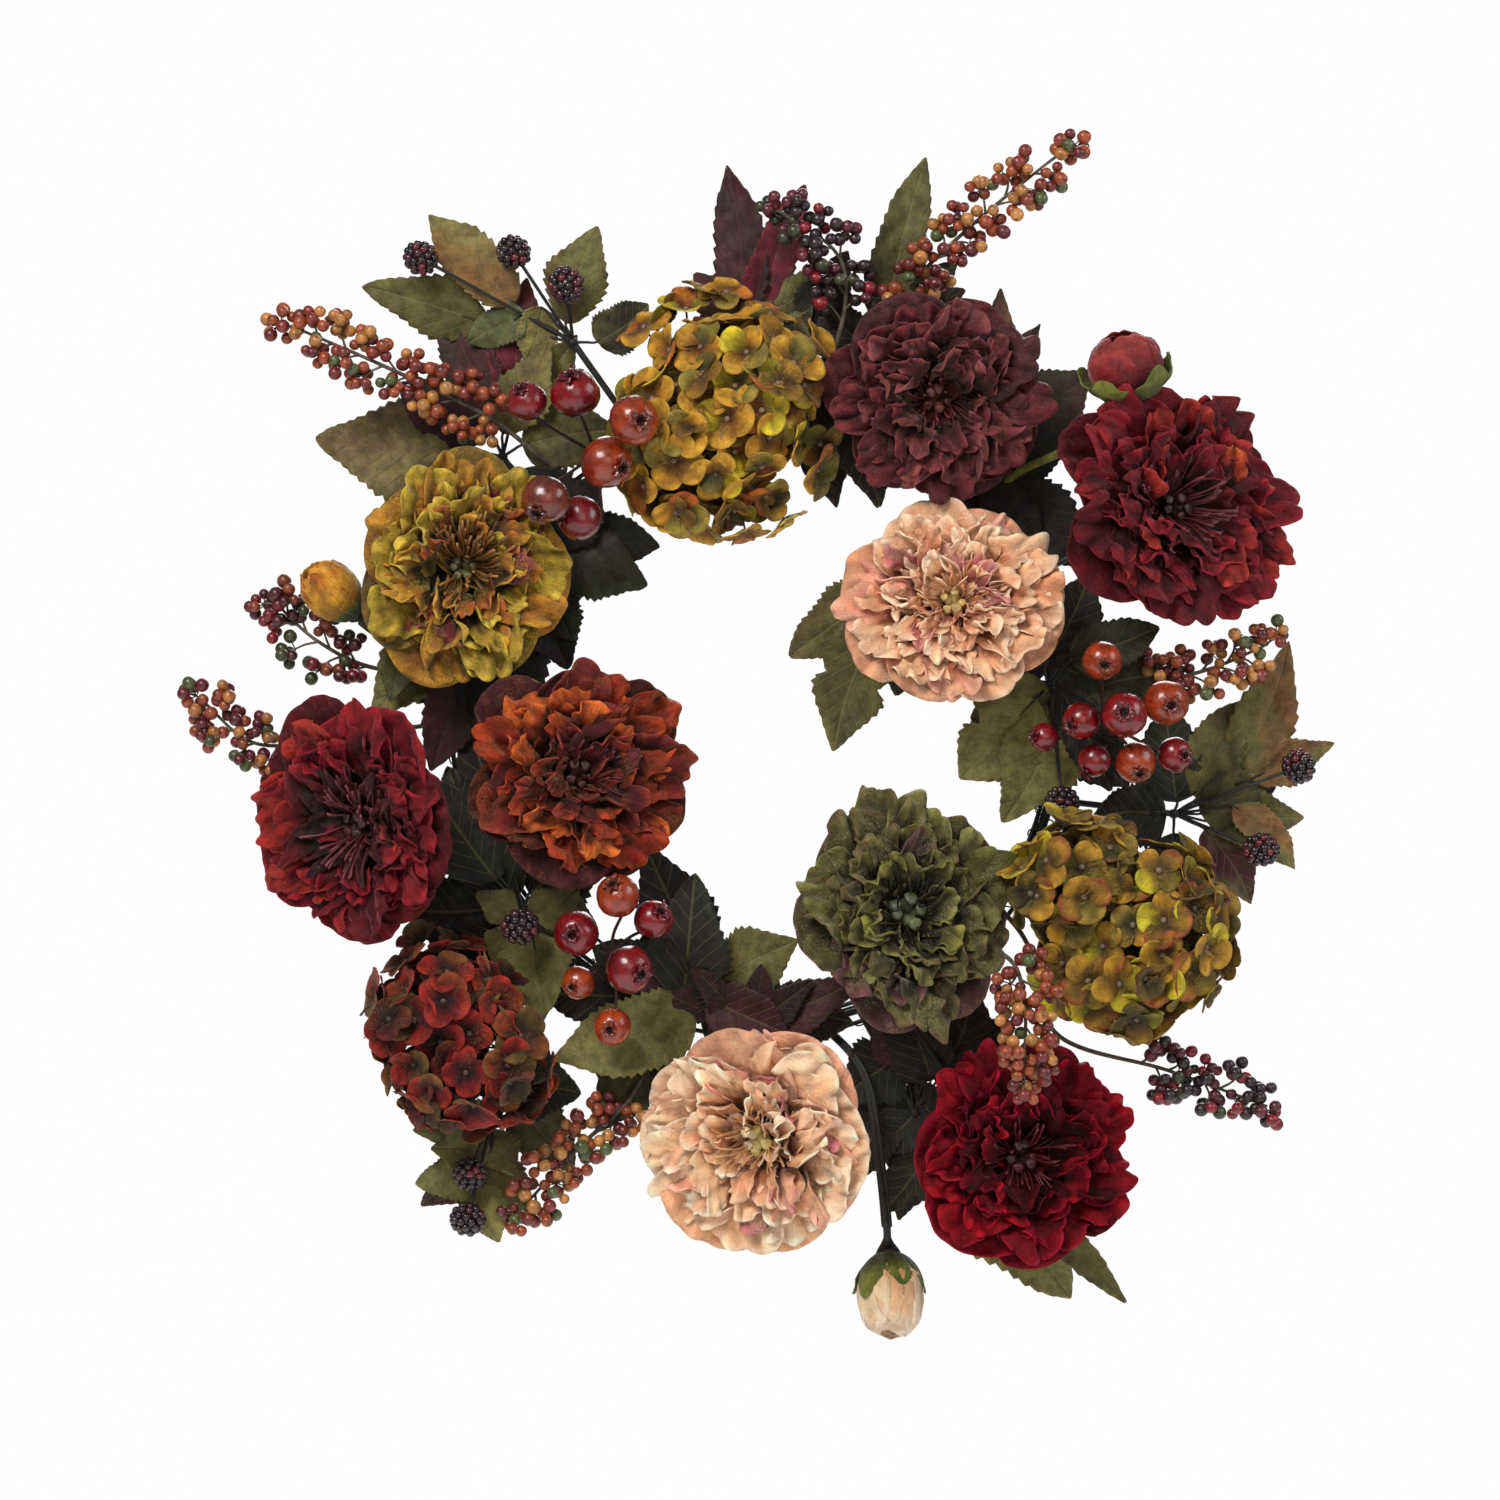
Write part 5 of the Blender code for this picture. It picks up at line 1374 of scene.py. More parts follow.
bud("bud_cream", "bud", [
    look((.88, .66, .48), (.95, .83, .69), (.98, .91, .83)),
    look((.90, .70, .52), (.96, .86, .74), (.98, .92, .86)),
    look((.84, .56, .36), (.94, .76, .58), (.97, .86, .74))],
    [(0.1, 26, 9, 62, -8, BUD_GREEN, 0.2), (1.2, 22, 9, 62, -6, (.38, .40, .14), 0.7),
     (2.4, 28, 10, 60, -10, (.46, .48, .18), 0.15), (3.6, 24, 9, 62, 6, (.36, .38, .14), 0.9),
     (4.9, 27, 9, 60, -8, BUD_GREEN, 0.2)],
    ((52, -24, -176), (60, -32, -222), (63, -36, -250)), -79, BLACK, 2.0, ragged=0.015,
    wide=1.05, tall=0.94, count=5, strands=4)


# ------------------------------------------------------------------ hips
def hip(shell, centre, r, axis, rng, colour, low_colour):
    """An apple-like hip: lacquered skin, dimple, crown of dried sepals."""
    axes = facing(axis)
    turn = rng.uniform(0, 2 * PI)
    axes = np.array((*spokes(axes, turn), axes[2]))
    polar = np.linspace(PI, 0, 17)
    profile = np.stack((np.sin(polar) * r * (1 - 0.05 * np.cos(polar)),
                        np.cos(polar) * r * 0.95), -1)
    profile[-1, 1] -= r * 0.20
    profile[-2, 1] -= r * 0.13
    profile[-3, 1] -= r * 0.02
    profile[0, 1] += r * 0.06

    def skin(local, up):
        mix = ease(0.2, 0.85, up + 0.12 * np.sin(3 * np.arctan2(local[:, 1], local[:, 0])))
        return np.outer(1 - mix, low_colour) + np.outer(mix, colour)

    shell.lathe(profile, centre, axes, skin, 22, tag=rng.uniform(0, 50),
                wobble=lambda b, h: 1 + 0.018 * np.sin(5 * b + turn) + 0.012 * np.sin(2 * b))
    crown = centre + axes[2] * (r * 0.80)
    u = np.linspace(0, 1, 7)[:, None]
    v = np.linspace(-1, 1, 5)[None, :]
    for i in range(6):
        outward, sideways = spokes(axes, 2 * PI * i / 6 + rng.uniform(-0.15, 0.15))
        out, high = rng.uniform(0.30, 0.46) * r, rng.uniform(0.10, 0.30) * r
        # a small dried sepal: rises round the eye and folds outwards
        radius = r * 0.13 + out * u ** 1.4
        up = high * np.sin(PI * u * 0.72) + 0.05 * r * np.abs(v)
        half = r * 0.15 * (1 - u) ** 0.7 + 0.02 * r
        grid = (crown + outward * radius[..., None] + axes[2] * up[..., None]
                + sideways * (half * v)[..., None])
        shell.sheet(grid, colour * 0.55 * (0.45 + 0.75 * u + 0 * v)[..., None],
                    (0.3, 0.5, float(i)), 0.07 * r)
    for i in range(9):
        outward, _ = spokes(axes, rng.uniform(0, 2 * PI))
        root = crown + outward * r * 0.10 - axes[2] * r * 0.05
        path = [root, root + axes[2] * r * 0.15, root + axes[2] * r * 0.26 + outward * r * 0.06]
        shell.tube(smooth_path(path, 4), 0.035 * r, 4, lin(.8, .65, .5), 1, tag=i)
    shell.ball(crown - axes[2] * r * 0.08, (r * 0.19, r * 0.19, r * 0.10), lin(.35, .22, .2), axes,
               1, fine=False)


def bent_stem(tie, hub):
    return smooth_path([tie, (tie + hub) / 2 + (0, -2, 0), hub], 16)


# skin colours at the crown end and at the stalk end
RED = (lin(.58, .05, .09), lin(.36, .02, .06))
ORANGE = (lin(.72, .30, .10), lin(.56, .12, .07))
TAN = (lin(.52, .24, .14), lin(.42, .20, .14))
# foot angle, hub, fruit (x, y, z, radius, skin)
HIPS = {
    "hips_upper_left": (119, (-84, -44, 138), (
        (-117, -78, 162, 10, RED), (-93, -78, 166, 12.5, RED), (-63, -98, 151, 12.5, ORANGE),
        (-77, -84, 131, 13, ORANGE), (-91, -74, 104, 11.5, RED), (-107, -98, 112, 12, TAN))),
    "hips_right": (-2, (172, -44, 2), (
        (170, -66, 33, 10, ORANGE), (202, -66, 12, 11.5, ORANGE), (159, -70, 3, 9.5, RED),
        (180, -78, 6, 11.5, RED), (141, -62, -5, 7.5, RED), (166, -66, -17, 8.5, RED),
        (187, -62, -18, 10.5, ORANGE), (207, -60, -14, 9, RED))),
    "hips_lower_left": (238, (-76, -44, -114), (
        (-72, -72, -84, 11, ORANGE), (-93, -66, -103, 11.5, RED), (-54, -66, -96, 10, RED),
        (-66, -72, -121, 12, RED), (-92, -62, -128, 8.5, ORANGE), (-75, -62, -150, 9.5, ORANGE))),
}


def hip_cluster(name, foot_angle, hub, fruit):
    rng = seeded(name)
    hub = np.array(hub, float)
    hips, twigs = Shell(), Shell()
    twigs.tube(bent_stem(foot(foot_angle), hub), STEM, 10)
    twigs.ball(hub, 3.0)
    middle = np.array([row[:3] for row in fruit], float).mean(0)
    for *centre, radius, (colour, low_colour) in fruit:
        centre = np.array(centre, float)
        out = unit(unit(centre - middle) * 0.55 + np.array((0, -1.0, 0)) + rng.normal(0, 0.30, 3))
        hip(hips, centre, radius, out, rng, shade(rng, colour, 0.1), shade(rng, low_colour, 0.1))
        end = centre - out * (radius * 0.92)
        path = [hub, (hub + end) / 2 + (0, 3, 0) + rng.normal(0, 1, 3), end - out * 3, end]
        radii = np.interp(np.arange(14), (0, 10, 13), (0.9, 0.8, 1.3))
        twigs.tube(smooth_path(path, 14), radii, 7)
    hips.build(name + "_fruit", [HIP, CROWN], "wreath", name, "hip_skin")
    twigs.build(name + "_twigs", [CROWN], "wreath", name, "hip_skin")


for name, row in HIPS.items():
    hip_cluster(name, *row)

# ------------------------------------------------------------------ berry sprays
# node: foot angle, knots of the twig, where along it the berries start (0 to 1), colours
SPRAYS = {
    "berry_spray_upper_left": (
        127, ((-112, -24, 137), (-140, -34, 158), (-190, -40, 182), (-238, -36, 203)), 0.32, "orange"),
    "berry_spray_upper_right": (
        70, ((60, -22, 172), (76, -29, 222), (104, -35, 252), (150, -36, 290)), 0.38, "orange"),
    "berry_spray_top": (
        81, ((29, -20, 168), (42, -28, 212), (38, -32, 240), (8, -34, 262)), 0.46, "dark"),
    "berry_spray_left": (
        168, ((-162, -20, 32), (-196, -24, 30), (-226, -25, 44), (-250, -25, 66)), 0.48, "red"),
    "berry_spray_far_left": (
        180, ((-170, -20, 1), (-218, -21, -6), (-258, -22, -8), (-286, -23, 15)), 0.66, "mixed"),
    "berry_spray_right": (
        6, ((166, -20, 19), (196, -30, 22), (228, -36, 30), (256, -36, 42)), 0.44, "orange"),
    "berry_spray_front": (
        -45, ((110, -30, -109), (118, -66, -112), (126, -92, -120), (129, -110, -140),
              (128, -116, -170)), 0.56, "orange"),
    "berry_spray_lower_right": (
        -37, ((136, -20, -112), (150, -26, -156), (206, -30, -174), (256, -31, -192)), 0.64, "dark"),
    "berry_spray_lower_left": (
        254, ((-50, -20, -158), (-68, -28, -190), (-92, -34, -212), (-122, -34, -244)), 0.40, "orange"),
}
BERRY_TINTS = {
    "orange": tints((5, .60, .28, .15), (3, .74, .50, .26), (3, .48, .18, .14), (1, .34, .38, .22),
                    (1, .40, .14, .14)),
    "dark": tints((5, .17, .12, .14), (3, .36, .12, .18), (2, .52, .12, .16), (1, .24, .26, .16)),
    "red": tints((4, .44, .10, .12), (3, .30, .10, .13), (2, .50, .24, .14), (1, .26, .28, .16)),
    "mixed": tints((3, .56, .26, .15), (3, .38, .10, .14), (2, .66, .42, .22), (1, .32, .36, .20)),
}


def berry_cluster(berries, twigs, end, out, colours, placed, rng):
    """Berries packed round the end of a side twig, clear of those already placed."""
    size = 3.25 * rng.uniform(0.92, 1.06)
    for _ in range(int(rng.integers(8, 12))):
        for _ in range(16):
            away = unit(rng.normal(0, 1, 3) + out * 0.8)
            centre = end + away * rng.uniform(1.8, 8.0)
            if all(np.linalg.norm(centre - other) > size * 1.70 for other in placed):
                break
        else:
            continue
        placed.append(centre)
        r = size * rng.uniform(0.85, 1.12)
        berries.ball(centre, (r, r, r * 1.03), shade(rng, pick(rng, colours), 0.15),
                     facing(unit(away + rng.normal(0, 0.2, 3))), tag=rng.uniform(0, 50),
                     dark_tip=0.75)
        twigs.tube(smooth_path([end - out * 1.5, centre - away * r * 0.8], 3), 0.36, 5)


def berry_spray(name, foot_angle, knots, start, kind):
    rng = seeded(name)
    path = smooth_path([foot(foot_angle)] + [np.array(k, float) for k in knots], 60)
    lengths = lengths_along(path)
    total = lengths[-1]

    def point_at(share):
        return np.array([np.interp(share * total, lengths, path[:, k]) for k in range(3)])

    berries, twigs = Shell(), Shell()
    twigs.tube(path, np.interp(lengths / total, (0, 0.5, 1), (1.3, 1.2, 0.7)), 8)
    placed = []
    at = start
    side = -1
    while at <= 1.0:
        root = point_at(at)
        along = unit(point_at(min(at + 0.03, 1)) - root) if at < 0.97 else unit(path[-1] - path[-4])
        across = unit(np.cross(along, (0, -1, 0)))
        reach = rng.uniform(8, 15) * (1 - 0.35 * max(0, at - 0.7) / 0.3)
        out = unit(across * side * rng.uniform(0.6, 1.0) + along * rng.uniform(0.4, 1.0)
                   + np.array((0, -1, 0)) * rng.uniform(0.0, 0.7))
        if at > 0.94:
            out = unit(along + rng.normal(0, 0.25, 3))
        end = root + out * reach
        twigs.tube(smooth_path([root, root + out * reach * 0.5 + along * 1.0, end], 7),
                   np.linspace(0.75, 0.5, 7), 6)
        berry_cluster(berries, twigs, end, out, BERRY_TINTS[kind], placed, rng)
        at += 6.8 / total * rng.uniform(0.85, 1.15)
        side = -side
    slot = "berry_dark" if kind in ("dark", "red") else "berry_orange"
    berries.build(name + "_berries", [BERRY], name + "_pick", name, slot)
    twigs.build(name + "_twigs", [TWIG], name + "_pick", name, slot)


for name, row in SPRAYS.items():
    berry_spray(name, *row)

# ------------------------------------------------------------------ brambles and leaf picks
DRUPELET_TINTS = tints((5, .13, .07, .10), (3, .26, .08, .13), (1, .40, .10, .14),
                       (1, .20, .14, .12))


def bramble(shell, centre, r, rng):
    """Glossy drupelets packed on an egg."""
    count = 46
    k = np.arange(count) + 0.5
    polar = np.arccos(1 - 2 * k / count)
    turn = PI * (1 + 5 ** 0.5) * k
    directions = np.stack((np.cos(turn) * np.sin(polar), np.sin(turn) * np.sin(polar),
                           np.cos(polar)), -1)
    axes = facing(unit(np.array((0, -1.0, 0)) + rng.normal(0, 0.6, 3)))
    shell.ball(centre, (r * 0.78, r * 0.78, r * 0.86), lin(.10, .05, .07), axes, fine=False)
    for out in directions:
        colour = shade(rng, pick(rng, DRUPELET_TINTS), 0.2)
        size = r * rng.uniform(0.21, 0.26)
        place = centre + (out * (r * 0.80, r * 0.80, r * 0.90)) @ axes
        shell.ball(place, size, colour, facing(out @ axes), tag=rng.uniform(0, 50))


OLIVE, MOSS, SAGE = lin(.48, .44, .24), lin(.39, .37, .19), lin(.36, .38, .22)
MAROON, WINE = lin(.27, .11, .14), lin(.42, .13, .16)
PINE, PLUM = lin(.17, .17, .10), lin(.13, .08, .09)
NIGHT, DUSK = lin(.115, .12, .095), lin(.13, .095, .10)
BROWN, RUST = lin(.34, .24, .16), lin(.50, .28, .16)
STRAW, SOOT = lin(.47, .42, .24), lin(.09, .09, .08)

# node: foot angle, hub, fruit (x, y, z, radius),
# leaves (base x, y, z, tip x, y, z, width, colour, second colour or None for a darker first)
PICKS = {
"bramble_pick_upper_left": (
    112, (-96, -20, 196), ((-173, -30, 238, 8.5), (-126, -30, 241, 8.5), (-99, -34, 224, 9)), (
    (-126,-18,216, -170,-10,262, 30,OLIVE,RUST), (-140,-16,206, -204,-8,226, 30,MOSS,None),
    (-100,-18,206, -84,-10,256, 30,MOSS,BROWN), (-84,-22,196, -58,-14,216, 26,PINE,MOSS),
    (-120,-22,210, -150,-18,196, 22,SAGE,None), (-112,-22,214, -120,-20,186, 22,OLIVE,None))),
"bramble_pick_left": (207, (-120, -40, -92), ((-121, -60, -100, 9),), (
    (-117,-44,-96, -92,-44,-80, 22,MOSS,None), (-124,-42,-100, -136,-36,-120, 20,OLIVE,None),
    (-124,-44,-98, -144,-42,-84, 18,MOSS,PINE), (-134,-34,-78, -172,-26,-24, 40,NIGHT,DUSK),
    (-126,-30,-74, -150,-26,4, 40,DUSK,NIGHT), (-136,-30,-92, -184,-24,-92, 38,NIGHT,DUSK),
    (-116,-36,-104, -110,-40,-146, 36,MOSS,OLIVE), (-126,-32,-104, -166,-26,-122, 38,DUSK,NIGHT),
    (-118,-30,-84, -84,-26,-54, 38,NIGHT,DUSK), (-140,-28,-66, -160,-22,-20, 34,PLUM,NIGHT),
    (-128,-30,-88, -146,-26,-20, 40,NIGHT,DUSK), (-130,-34,-96, -104,-38,-136, 26,OLIVE,MOSS),
    (-118,-34,-90, -84,-34,-100, 26,MOSS,PINE))),
"bramble_pick_lower_left": (
    231, (-134, -20, -188), ((-148, -34, -226, 8.5), (-149, -34, -249, 8.5)), (
    (-136,-18,-196, -178,-12,-206, 26,MOSS,MAROON), (-142,-18,-212, -174,-12,-244, 26,MAROON,PINE),
    (-138,-15,-218, -122,-8,-254, 26,MOSS,None), (-140,-20,-206, -126,-22,-228, 20,OLIVE,None),
    (-128,-22,-184, -92,-24,-186, 34,PINE,NIGHT), (-140,-22,-182, -188,-22,-168, 34,NIGHT,MAROON),
    (-126,-18,-194, -96,-15,-226, 32,MOSS,PINE), (-142,-24,-226, -176,-24,-232, 24,OLIVE,SAGE),
    (-142,-24,-232, -134,-22,-262, 24,OLIVE,MOSS), (-138,-24,-216, -168,-26,-214, 22,MOSS,SAGE))),
"bramble_pick_right": (-14, (210, -18, -44), ((272, -32, -20, 8.5), (253, -32, -62, 8.5)), (
    (236,-13,-30, 270,-7,44, 30,MOSS,RUST), (250,-18,-26, 292,-14,-8, 22,OLIVE,RUST),
    (228,-16,-48, 277,-12,-46, 28,MOSS,None), (226,-16,-52, 250,-12,-90, 28,MAROON,MOSS),
    (240,-18,-40, 272,-16,-72, 20,OLIVE,RUST), (212,-16,-38, 206,-20,12, 36,NIGHT,PINE),
    (222,-16,-36, 246,-16,14, 32,MOSS,PINE), (206,-18,-44, 168,-22,-46, 36,NIGHT,DUSK),
    (210,-16,-54, 214,-16,-104, 34,DUSK,PINE), (224,-16,-44, 262,-14,-30, 30,PINE,MOSS))),
"bramble_pick_inner_right": (18, (146, -30, 22), ((151, -50, -38, 8.5),), (
    (138,-38,14, 100,-42,-26, 46,OLIVE,MOSS), (156,-42,34, 200,-48,50, 30,PINE,None),
    (150,-40,20, 176,-44,-32, 26,PLUM,None), (140,-36,24, 120,-34,58, 26,PLUM,PINE),
    (150,-36,30, 192,-30,12, 34,NIGHT,PINE), (146,-34,18, 106,-30,4, 38,MOSS,PINE),
    (150,-34,10, 122,-34,-48, 40,MOSS,OLIVE), (148,-32,14, 186,-30,-30, 36,NIGHT,DUSK),
    (142,-32,30, 166,-30,78, 34,DUSK,NIGHT), (158,-34,16, 214,-30,26, 34,PINE,MOSS))),
"leaf_pick_upper_left": (136, (-132, -18, 138), (), (
    (-150,-15,142, -228,-10,148, 52,STRAW,BROWN), (-143,-14,162, -162,-9,214, 32,MAROON,PINE),
    (-126,-13,164, -120,-8,230, 30,WINE,MAROON), (-132,-18,150, -108,-22,196, 28,OLIVE,None),
    (-140,-16,130, -196,-14,108, 34,MOSS,BROWN), (-124,-16,130, -84,-20,92, 36,NIGHT,PINE),
    (-122,-18,144, -74,-20,152, 36,MOSS,PINE), (-128,-14,156, -94,-16,200, 30,OLIVE,MOSS),
    (-138,-14,150, -186,-12,176, 32,MAROON,DUSK))),
"leaf_pick_top": (99, (-12, -16, 186), (), (
    (-12,-13,206, -18,-5,288, 30,MAROON,PLUM), (-4,-12,206, 22,-5,278, 26,WINE,MAROON),
    (-4,-16,196, 26,-14,216, 26,PINE,MOSS), (-8,-18,200, -34,-14,232, 24,MAROON,BROWN),
    (2,-13,210, 36,-8,236, 22,MOSS,None), (20,-16,190, 38,-20,112, 34,NIGHT,DUSK),
    (26,-11,196, 44,-7,244, 28,NIGHT,PINE), (-20,-14,180, -40,-16,108, 34,DUSK,NIGHT))),
"leaf_pick_tall": (76, (54, -14, 184), (), (
    (62,-12,200, 84,-5,292, 28,MOSS,PINE), (60,-12,196, 100,-7,238, 30,PINE,PLUM),
    (56,-16,190, 34,-14,214, 24,PLUM,None), (48,-20,176, 60,-26,112, 34,NIGHT,DUSK),
    (52,-14,186, 24,-16,172, 28,DUSK,NIGHT), (66,-11,206, 104,-8,224, 24,PLUM,BROWN))),
"leaf_pick_inner_left": (144, (-112, -22, 88), (), (
    (-106,-24,84, -58,-32,72, 36,PINE,PLUM), (-106,-26,92, -82,-38,128, 28,PLUM,None),
    (-112,-22,84, -96,-26,44, 34,PINE,PLUM), (-112,-22,92, -136,-20,116, 30,MOSS,PINE),
    (-124,-20,82, -166,-20,44, 38,NIGHT,DUSK), (-122,-20,74, -136,-20,18, 38,DUSK,NIGHT),
    (-126,-18,64, -176,-16,12, 34,NIGHT,PINE), (-112,-20,98, -52,-26,92, 34,NIGHT,DUSK),
    (-118,-20,70, -98,-24,30, 34,PLUM,NIGHT), (-140,-24,66, -150,-30,-8, 42,NIGHT,DUSK),
    (-150,-24,52, -198,-34,4, 36,MOSS,OLIVE), (-146,-22,50, -168,-28,-22, 36,MAROON,NIGHT),
    (-150,-20,56, -196,-22,48, 30,DUSK,NIGHT), (-134,-22,60, -128,-26,-18, 38,DUSK,NIGHT))),
"leaf_pick_inner_right": (46.5, (78, -30, 78), (), (
    (62,-36,58, 36,-40,-12, 42,MOSS,PINE), (58,-32,68, 14,-32,36, 34,MOSS,BROWN),
    (72,-41,54, 68,-46,16, 30,PINE,MOSS), (80,-30,70, 108,-30,20, 34,PLUM,PINE))),
"leaf_pick_lower_right": (-71, (78, -16, -196), (), (
    (104,-12,-232, 158,-9,-292, 46,OLIVE,MOSS), (112,-13,-226, 186,-10,-294, 20,MOSS,None),
    (90,-14,-206, 62,-10,-248, 30,PINE,PLUM), (96,-14,-210, 76,-13,-176, 26,PLUM,None),
    (84,-12,-190, 58,-11,-216, 30,NIGHT,DUSK), (92,-14,-186, 128,-15,-150, 36,NIGHT,DUSK),
    (86,-18,-180, 70,-22,-138, 34,DUSK,NIGHT), (110,-11,-190, 182,-9,-196, 36,MOSS,PINE),
    (100,-11,-196, 152,-11,-164, 38,NIGHT,PINE), (88,-11,-204, 70,-9,-252, 24,NIGHT,DUSK),
    (76,-13,-184, 46,-10,-232, 32,DUSK,NIGHT), (72,-15,-168, 40,-18,-190, 34,NIGHT,DUSK),
    (84,-18,-172, 56,-24,-142, 34,MAROON,NIGHT), (92,-18,-176, 108,-22,-132, 34,DUSK,MAROON),
    (74,-13,-190, 66,-10,-226, 30,NIGHT,DUSK))),
"leaf_pick_lower_inner": (262, (-22, -26, -136), (), (
    (-30,-26,-130, -60,-32,-58, 38,PLUM,SOOT), (-22,-24,-128, 18,-30,-108, 34,MOSS,OLIVE),
    (-32,-22,-140, -68,-16,-142, 28,MAROON,PLUM), (-34,-24,-146, -106,-38,-168, 42,OLIVE,MOSS),
    (-28,-24,-138, 14,-30,-156, 30,MAROON,PLUM), (-44,-20,-146, -84,-24,-206, 40,PINE,MOSS),
    (-36,-22,-134, -86,-24,-112, 38,NIGHT,DUSK), (-40,-24,-138, -34,-34,-74, 40,NIGHT,DUSK),
    (-24,-22,-146, -66,-30,-128, 18,MAROON,DUSK), (-14,-22,-148, -36,-32,-122, 17,MAROON,PLUM),
    (-6,-22,-148, 0,-32,-120, 17,MAROON,DUSK), (-2,-22,-150, 26,-30,-128, 17,PLUM,MAROON),
    (-50,-18,-140, -112,-22,-136, 38,DUSK,NIGHT), (-30,-18,-152, 34,-20,-168, 30,NIGHT,DUSK),
    (-6,-20,-146, 46,-24,-150, 34,DUSK,MAROON), (0,-22,-150, 50,-26,-128, 26,MAROON,NIGHT))),
"leaf_pick_upper_right": (54, (108, -17, 140), (), (
    (128,-18,154, 168,-12,182, 34,PINE,MAROON), (120,-18,148, 136,-16,186, 26,MOSS,None),
    (112,-18,134, 142,-24,96, 30,PLUM,PINE), (116,-16,138, 160,-18,146, 34,NIGHT,DUSK),
    (118,-18,126, 168,-20,80, 38,DUSK,NIGHT), (108,-20,124, 128,-24,74, 34,NIGHT,DUSK),
    (104,-16,146, 122,-14,224, 26,BROWN,MAROON), (116,-16,150, 142,-14,206, 22,PLUM,MAROON),
    (112,-18,140, 136,-14,172, 26,MOSS,OLIVE))),
}
# picks whose leaves are not the olive fabric
PICK_FABRIC = {"leaf_pick_upper_left": "maroon", "leaf_pick_top": "maroon",
               "leaf_pick_inner_left": "dark", "leaf_pick_upper_right": "dark"}


def leaf_pick(name, foot_angle, hub, fruit, leaves):
    """Leaves and any brambles on wires from one hub."""
    rng = seeded(name)
    hub = np.array(hub, float)
    shell = Shell()
    shell.tube(bent_stem(foot(foot_angle), hub), STEM, 10, mat=1)
    shell.ball(hub, 2.6, mat=1)
    for i, (*ends, width, colour, second) in enumerate(leaves):
        base, tip = np.array(ends, float).reshape(2, 3)
        path = [hub, (hub + base) / 2 + (0, -1, 0), base, base * 0.8 + tip * 0.2]
        shell.tube(smooth_path(path, 12), np.interp(np.arange(12), (0, 11), (0.9, 0.5)), 7, mat=1)
        leaf(shell, base, tip, width, rng, shade(rng, colour, 0.12), second,
             fold=rng.uniform(-0.05, 0.30), arch=rng.uniform(-0.02, 0.12),
             wave=rng.uniform(0.6, 2.2), teeth=int(rng.integers(12, 17)),
             roll=rng.uniform(-0.35, 0.35),
             lobes=0.35 if i == 0 and "inner_right" in name else 0.0)
    fabric = PICK_FABRIC.get(name, "olive")
    slot = "bramble" if name.startswith("bramble") else "leaf_" + fabric
    shell.build(name + "_leaves", [LEAF[fabric], BLACK], "wreath", name, slot)
    if fruit:
        brambles = Shell()
        for *centre, radius in fruit:
            centre = np.array(centre, float)
            bramble(brambles, centre, radius * 1.02, rng)
            path = smooth_path([hub, (hub + centre) / 2 + (0, -1, 0), centre], 12)
            brambles.tube(path, 0.9, 7, mat=1)
        brambles.build(name + "_fruit", [DRUPE, BLACK], "wreath", name, "bramble")


for name, row in PICKS.items():
    leaf_pick(name, *row)

# ------------------------------------------------------------------ stage, light, camera (metres)
scene = bpy.context.scene


def pale_floor():
    """The floor glows a little, and more to the camera, so that its far edge fades out."""
    sh = Shader("pale_floor")
    camera_ray = sh.add("LightPath").outputs["Is Camera Ray"]
    extra, always = 0.26, 0.32  # glow added for the camera, glow for every ray
    glow = sh.add("Math", {0: camera_ray, 1: extra, 2: always}, operation="MULTIPLY_ADD")
    return sh.surface({"Base Color": (0.86, 0.86, 0.85), "Emission Color": (1, 1, 0.99),
                       "Emission Strength": glow.outputs[0], "Roughness": 0.9})


def floor():
    side, half, level = 9, 2.0, -0.95
    ticks = np.linspace(-half, half, side)
    points = [(x, y, level) for x in ticks for y in ticks]
    quads = [(i * side + j, (i + 1) * side + j, (i + 1) * side + j + 1, i * side + j + 1)
             for i in range(side - 1) for j in range(side - 1)]
    mesh = bpy.data.meshes.new("floor")
    mesh.from_pydata(points, [], quads)
    ob = bpy.data.objects.new("floor", mesh)
    scene.collection.objects.link(ob)
    mesh.materials.append(pale_floor())


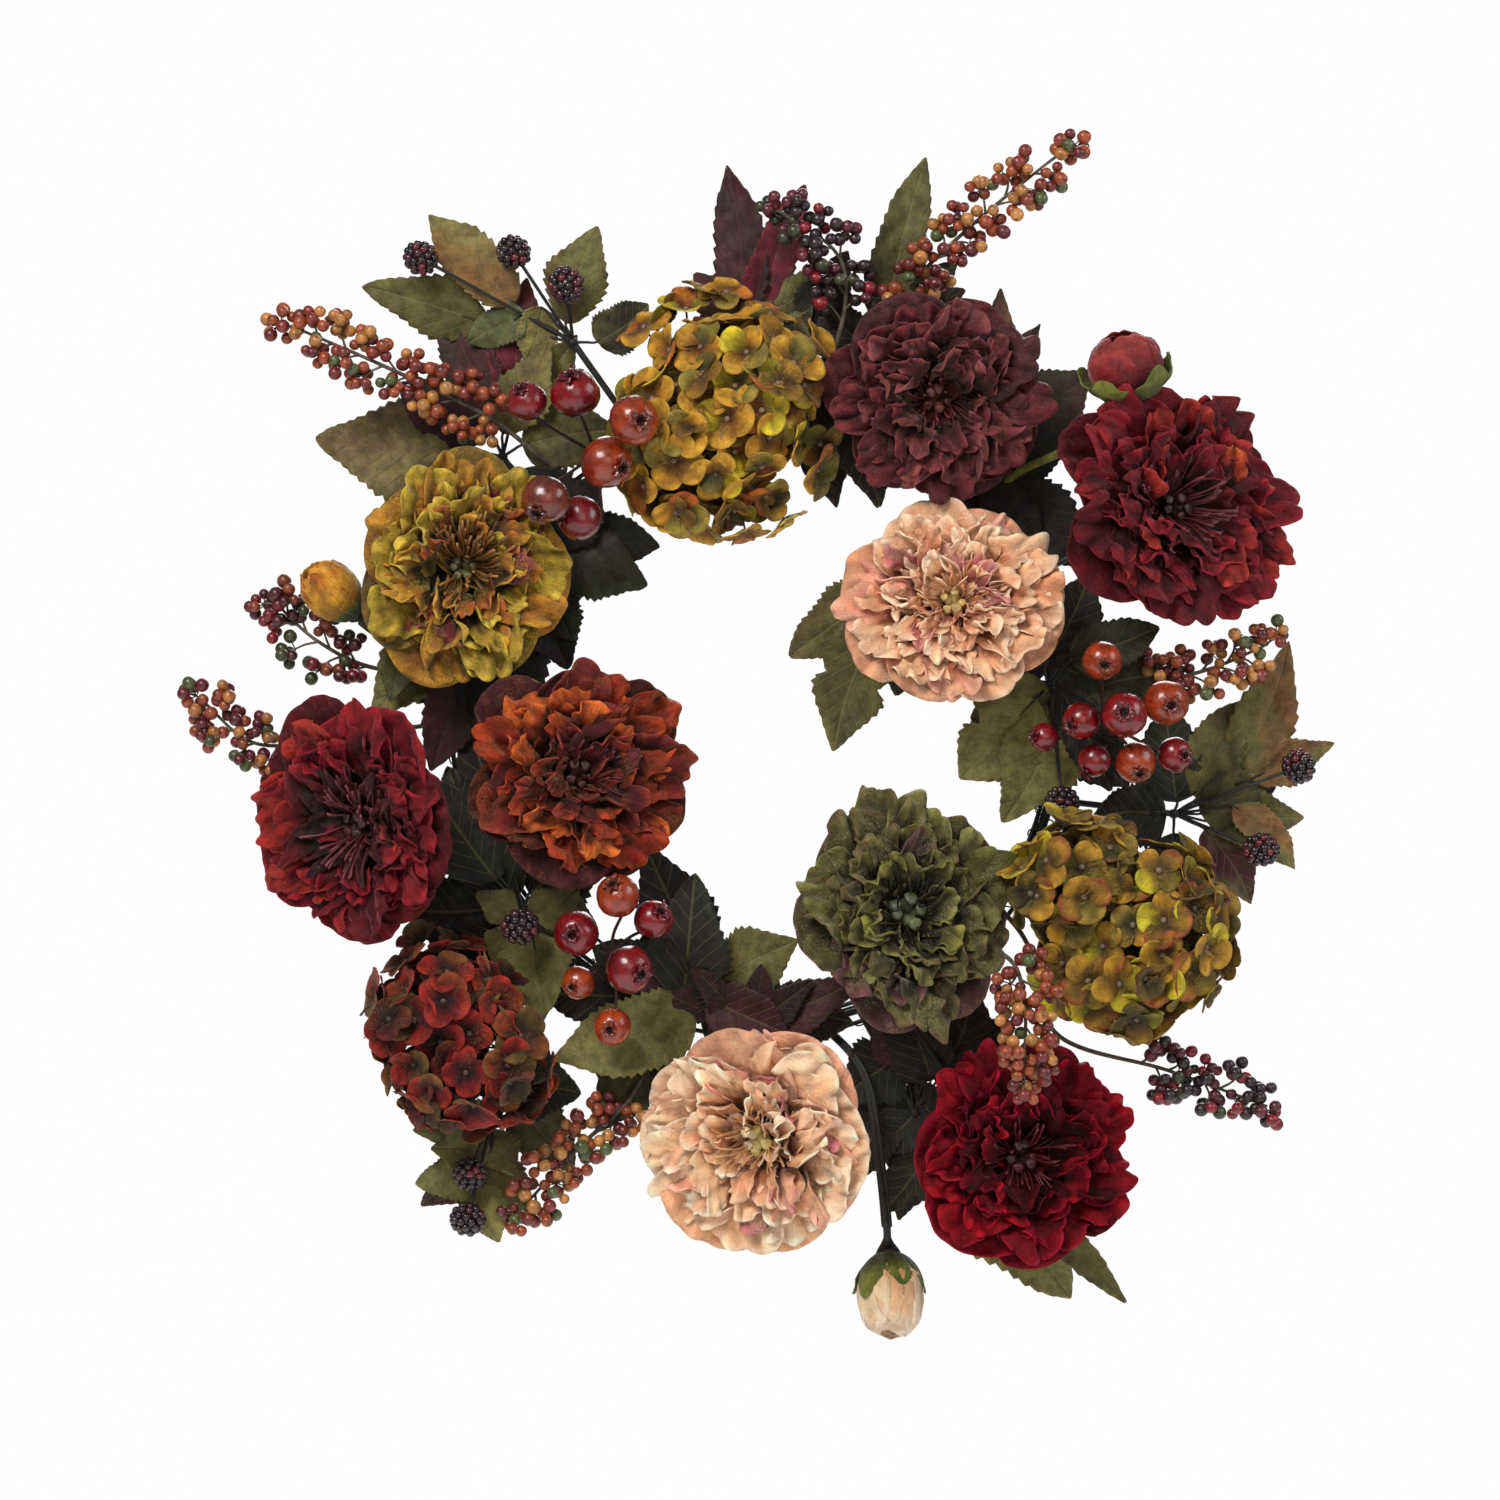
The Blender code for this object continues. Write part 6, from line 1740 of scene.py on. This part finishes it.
def studio():
    """A world that is white to the camera and dim to everything else."""
    world = bpy.data.worlds.new("studio")
    world.use_nodes = True
    scene.world = world
    nodes, link = world.node_tree.nodes, world.node_tree.links.new
    nodes.clear()
    output = nodes.new("ShaderNodeOutputWorld")
    mixer = nodes.new("ShaderNodeMixShader")
    for socket, strength in ((2, 1.0), (1, 0.20)):
        background = nodes.new("ShaderNodeBackground")
        background.inputs["Color"].default_value = (1, 1, 1, 1)
        background.inputs["Strength"].default_value = strength
        link(background.outputs[0], mixer.inputs[socket])
    rays = nodes.new("ShaderNodeLightPath")
    link(rays.outputs["Is Camera Ray"], mixer.inputs[0])
    link(mixer.outputs[0], output.inputs[0])


def area_light(name, location, size, power, colour=WHITE):
    """A rectangular light aimed a little below the ring's centre."""
    data = bpy.data.lights.new(name, "AREA")
    data.shape = "RECTANGLE"
    data.size, data.size_y = size
    data.energy = power
    data.color = colour
    ob = bpy.data.objects.new(name, data)
    scene.collection.objects.link(ob)
    matrix = np.eye(4)
    matrix[:3, :3] = facing(unit(np.array(location) - np.array((0, 0, -0.15)))).T
    matrix[:3, 3] = location
    ob.matrix_world = Matrix(matrix.tolist())


def camera():
    data = bpy.data.cameras.new("camera")
    data.lens = 115
    data.sensor_width = 36
    data.clip_end = 20
    ob = bpy.data.objects.new("camera", data)
    ob.location = (-0.006, -2.46, RING_HEIGHT / 1000 - 0.0115)
    ob.rotation_euler = (PI / 2, 0, 0)
    scene.collection.objects.link(ob)
    scene.camera = ob


floor()
studio()
area_light("key", (-0.75, -1.5, 1.05), size=(0.8, 0.8), power=30, colour=(1.0, 0.985, 0.96))
area_light("front", (0.35, -2.3, 0.25), size=(1.2, 1.2), power=6)
area_light("rim", (1.3, -0.5, 0.5), size=(0.7, 1.0), power=7)
area_light("back", (0.2, 1.6, 0.9), size=(1.2, 1.0), power=18)
camera()
scene.view_settings.view_transform = "Standard"
scene.view_settings.look = "None"
scene.view_settings.exposure = 0.0

bpy.context.view_layer.update()
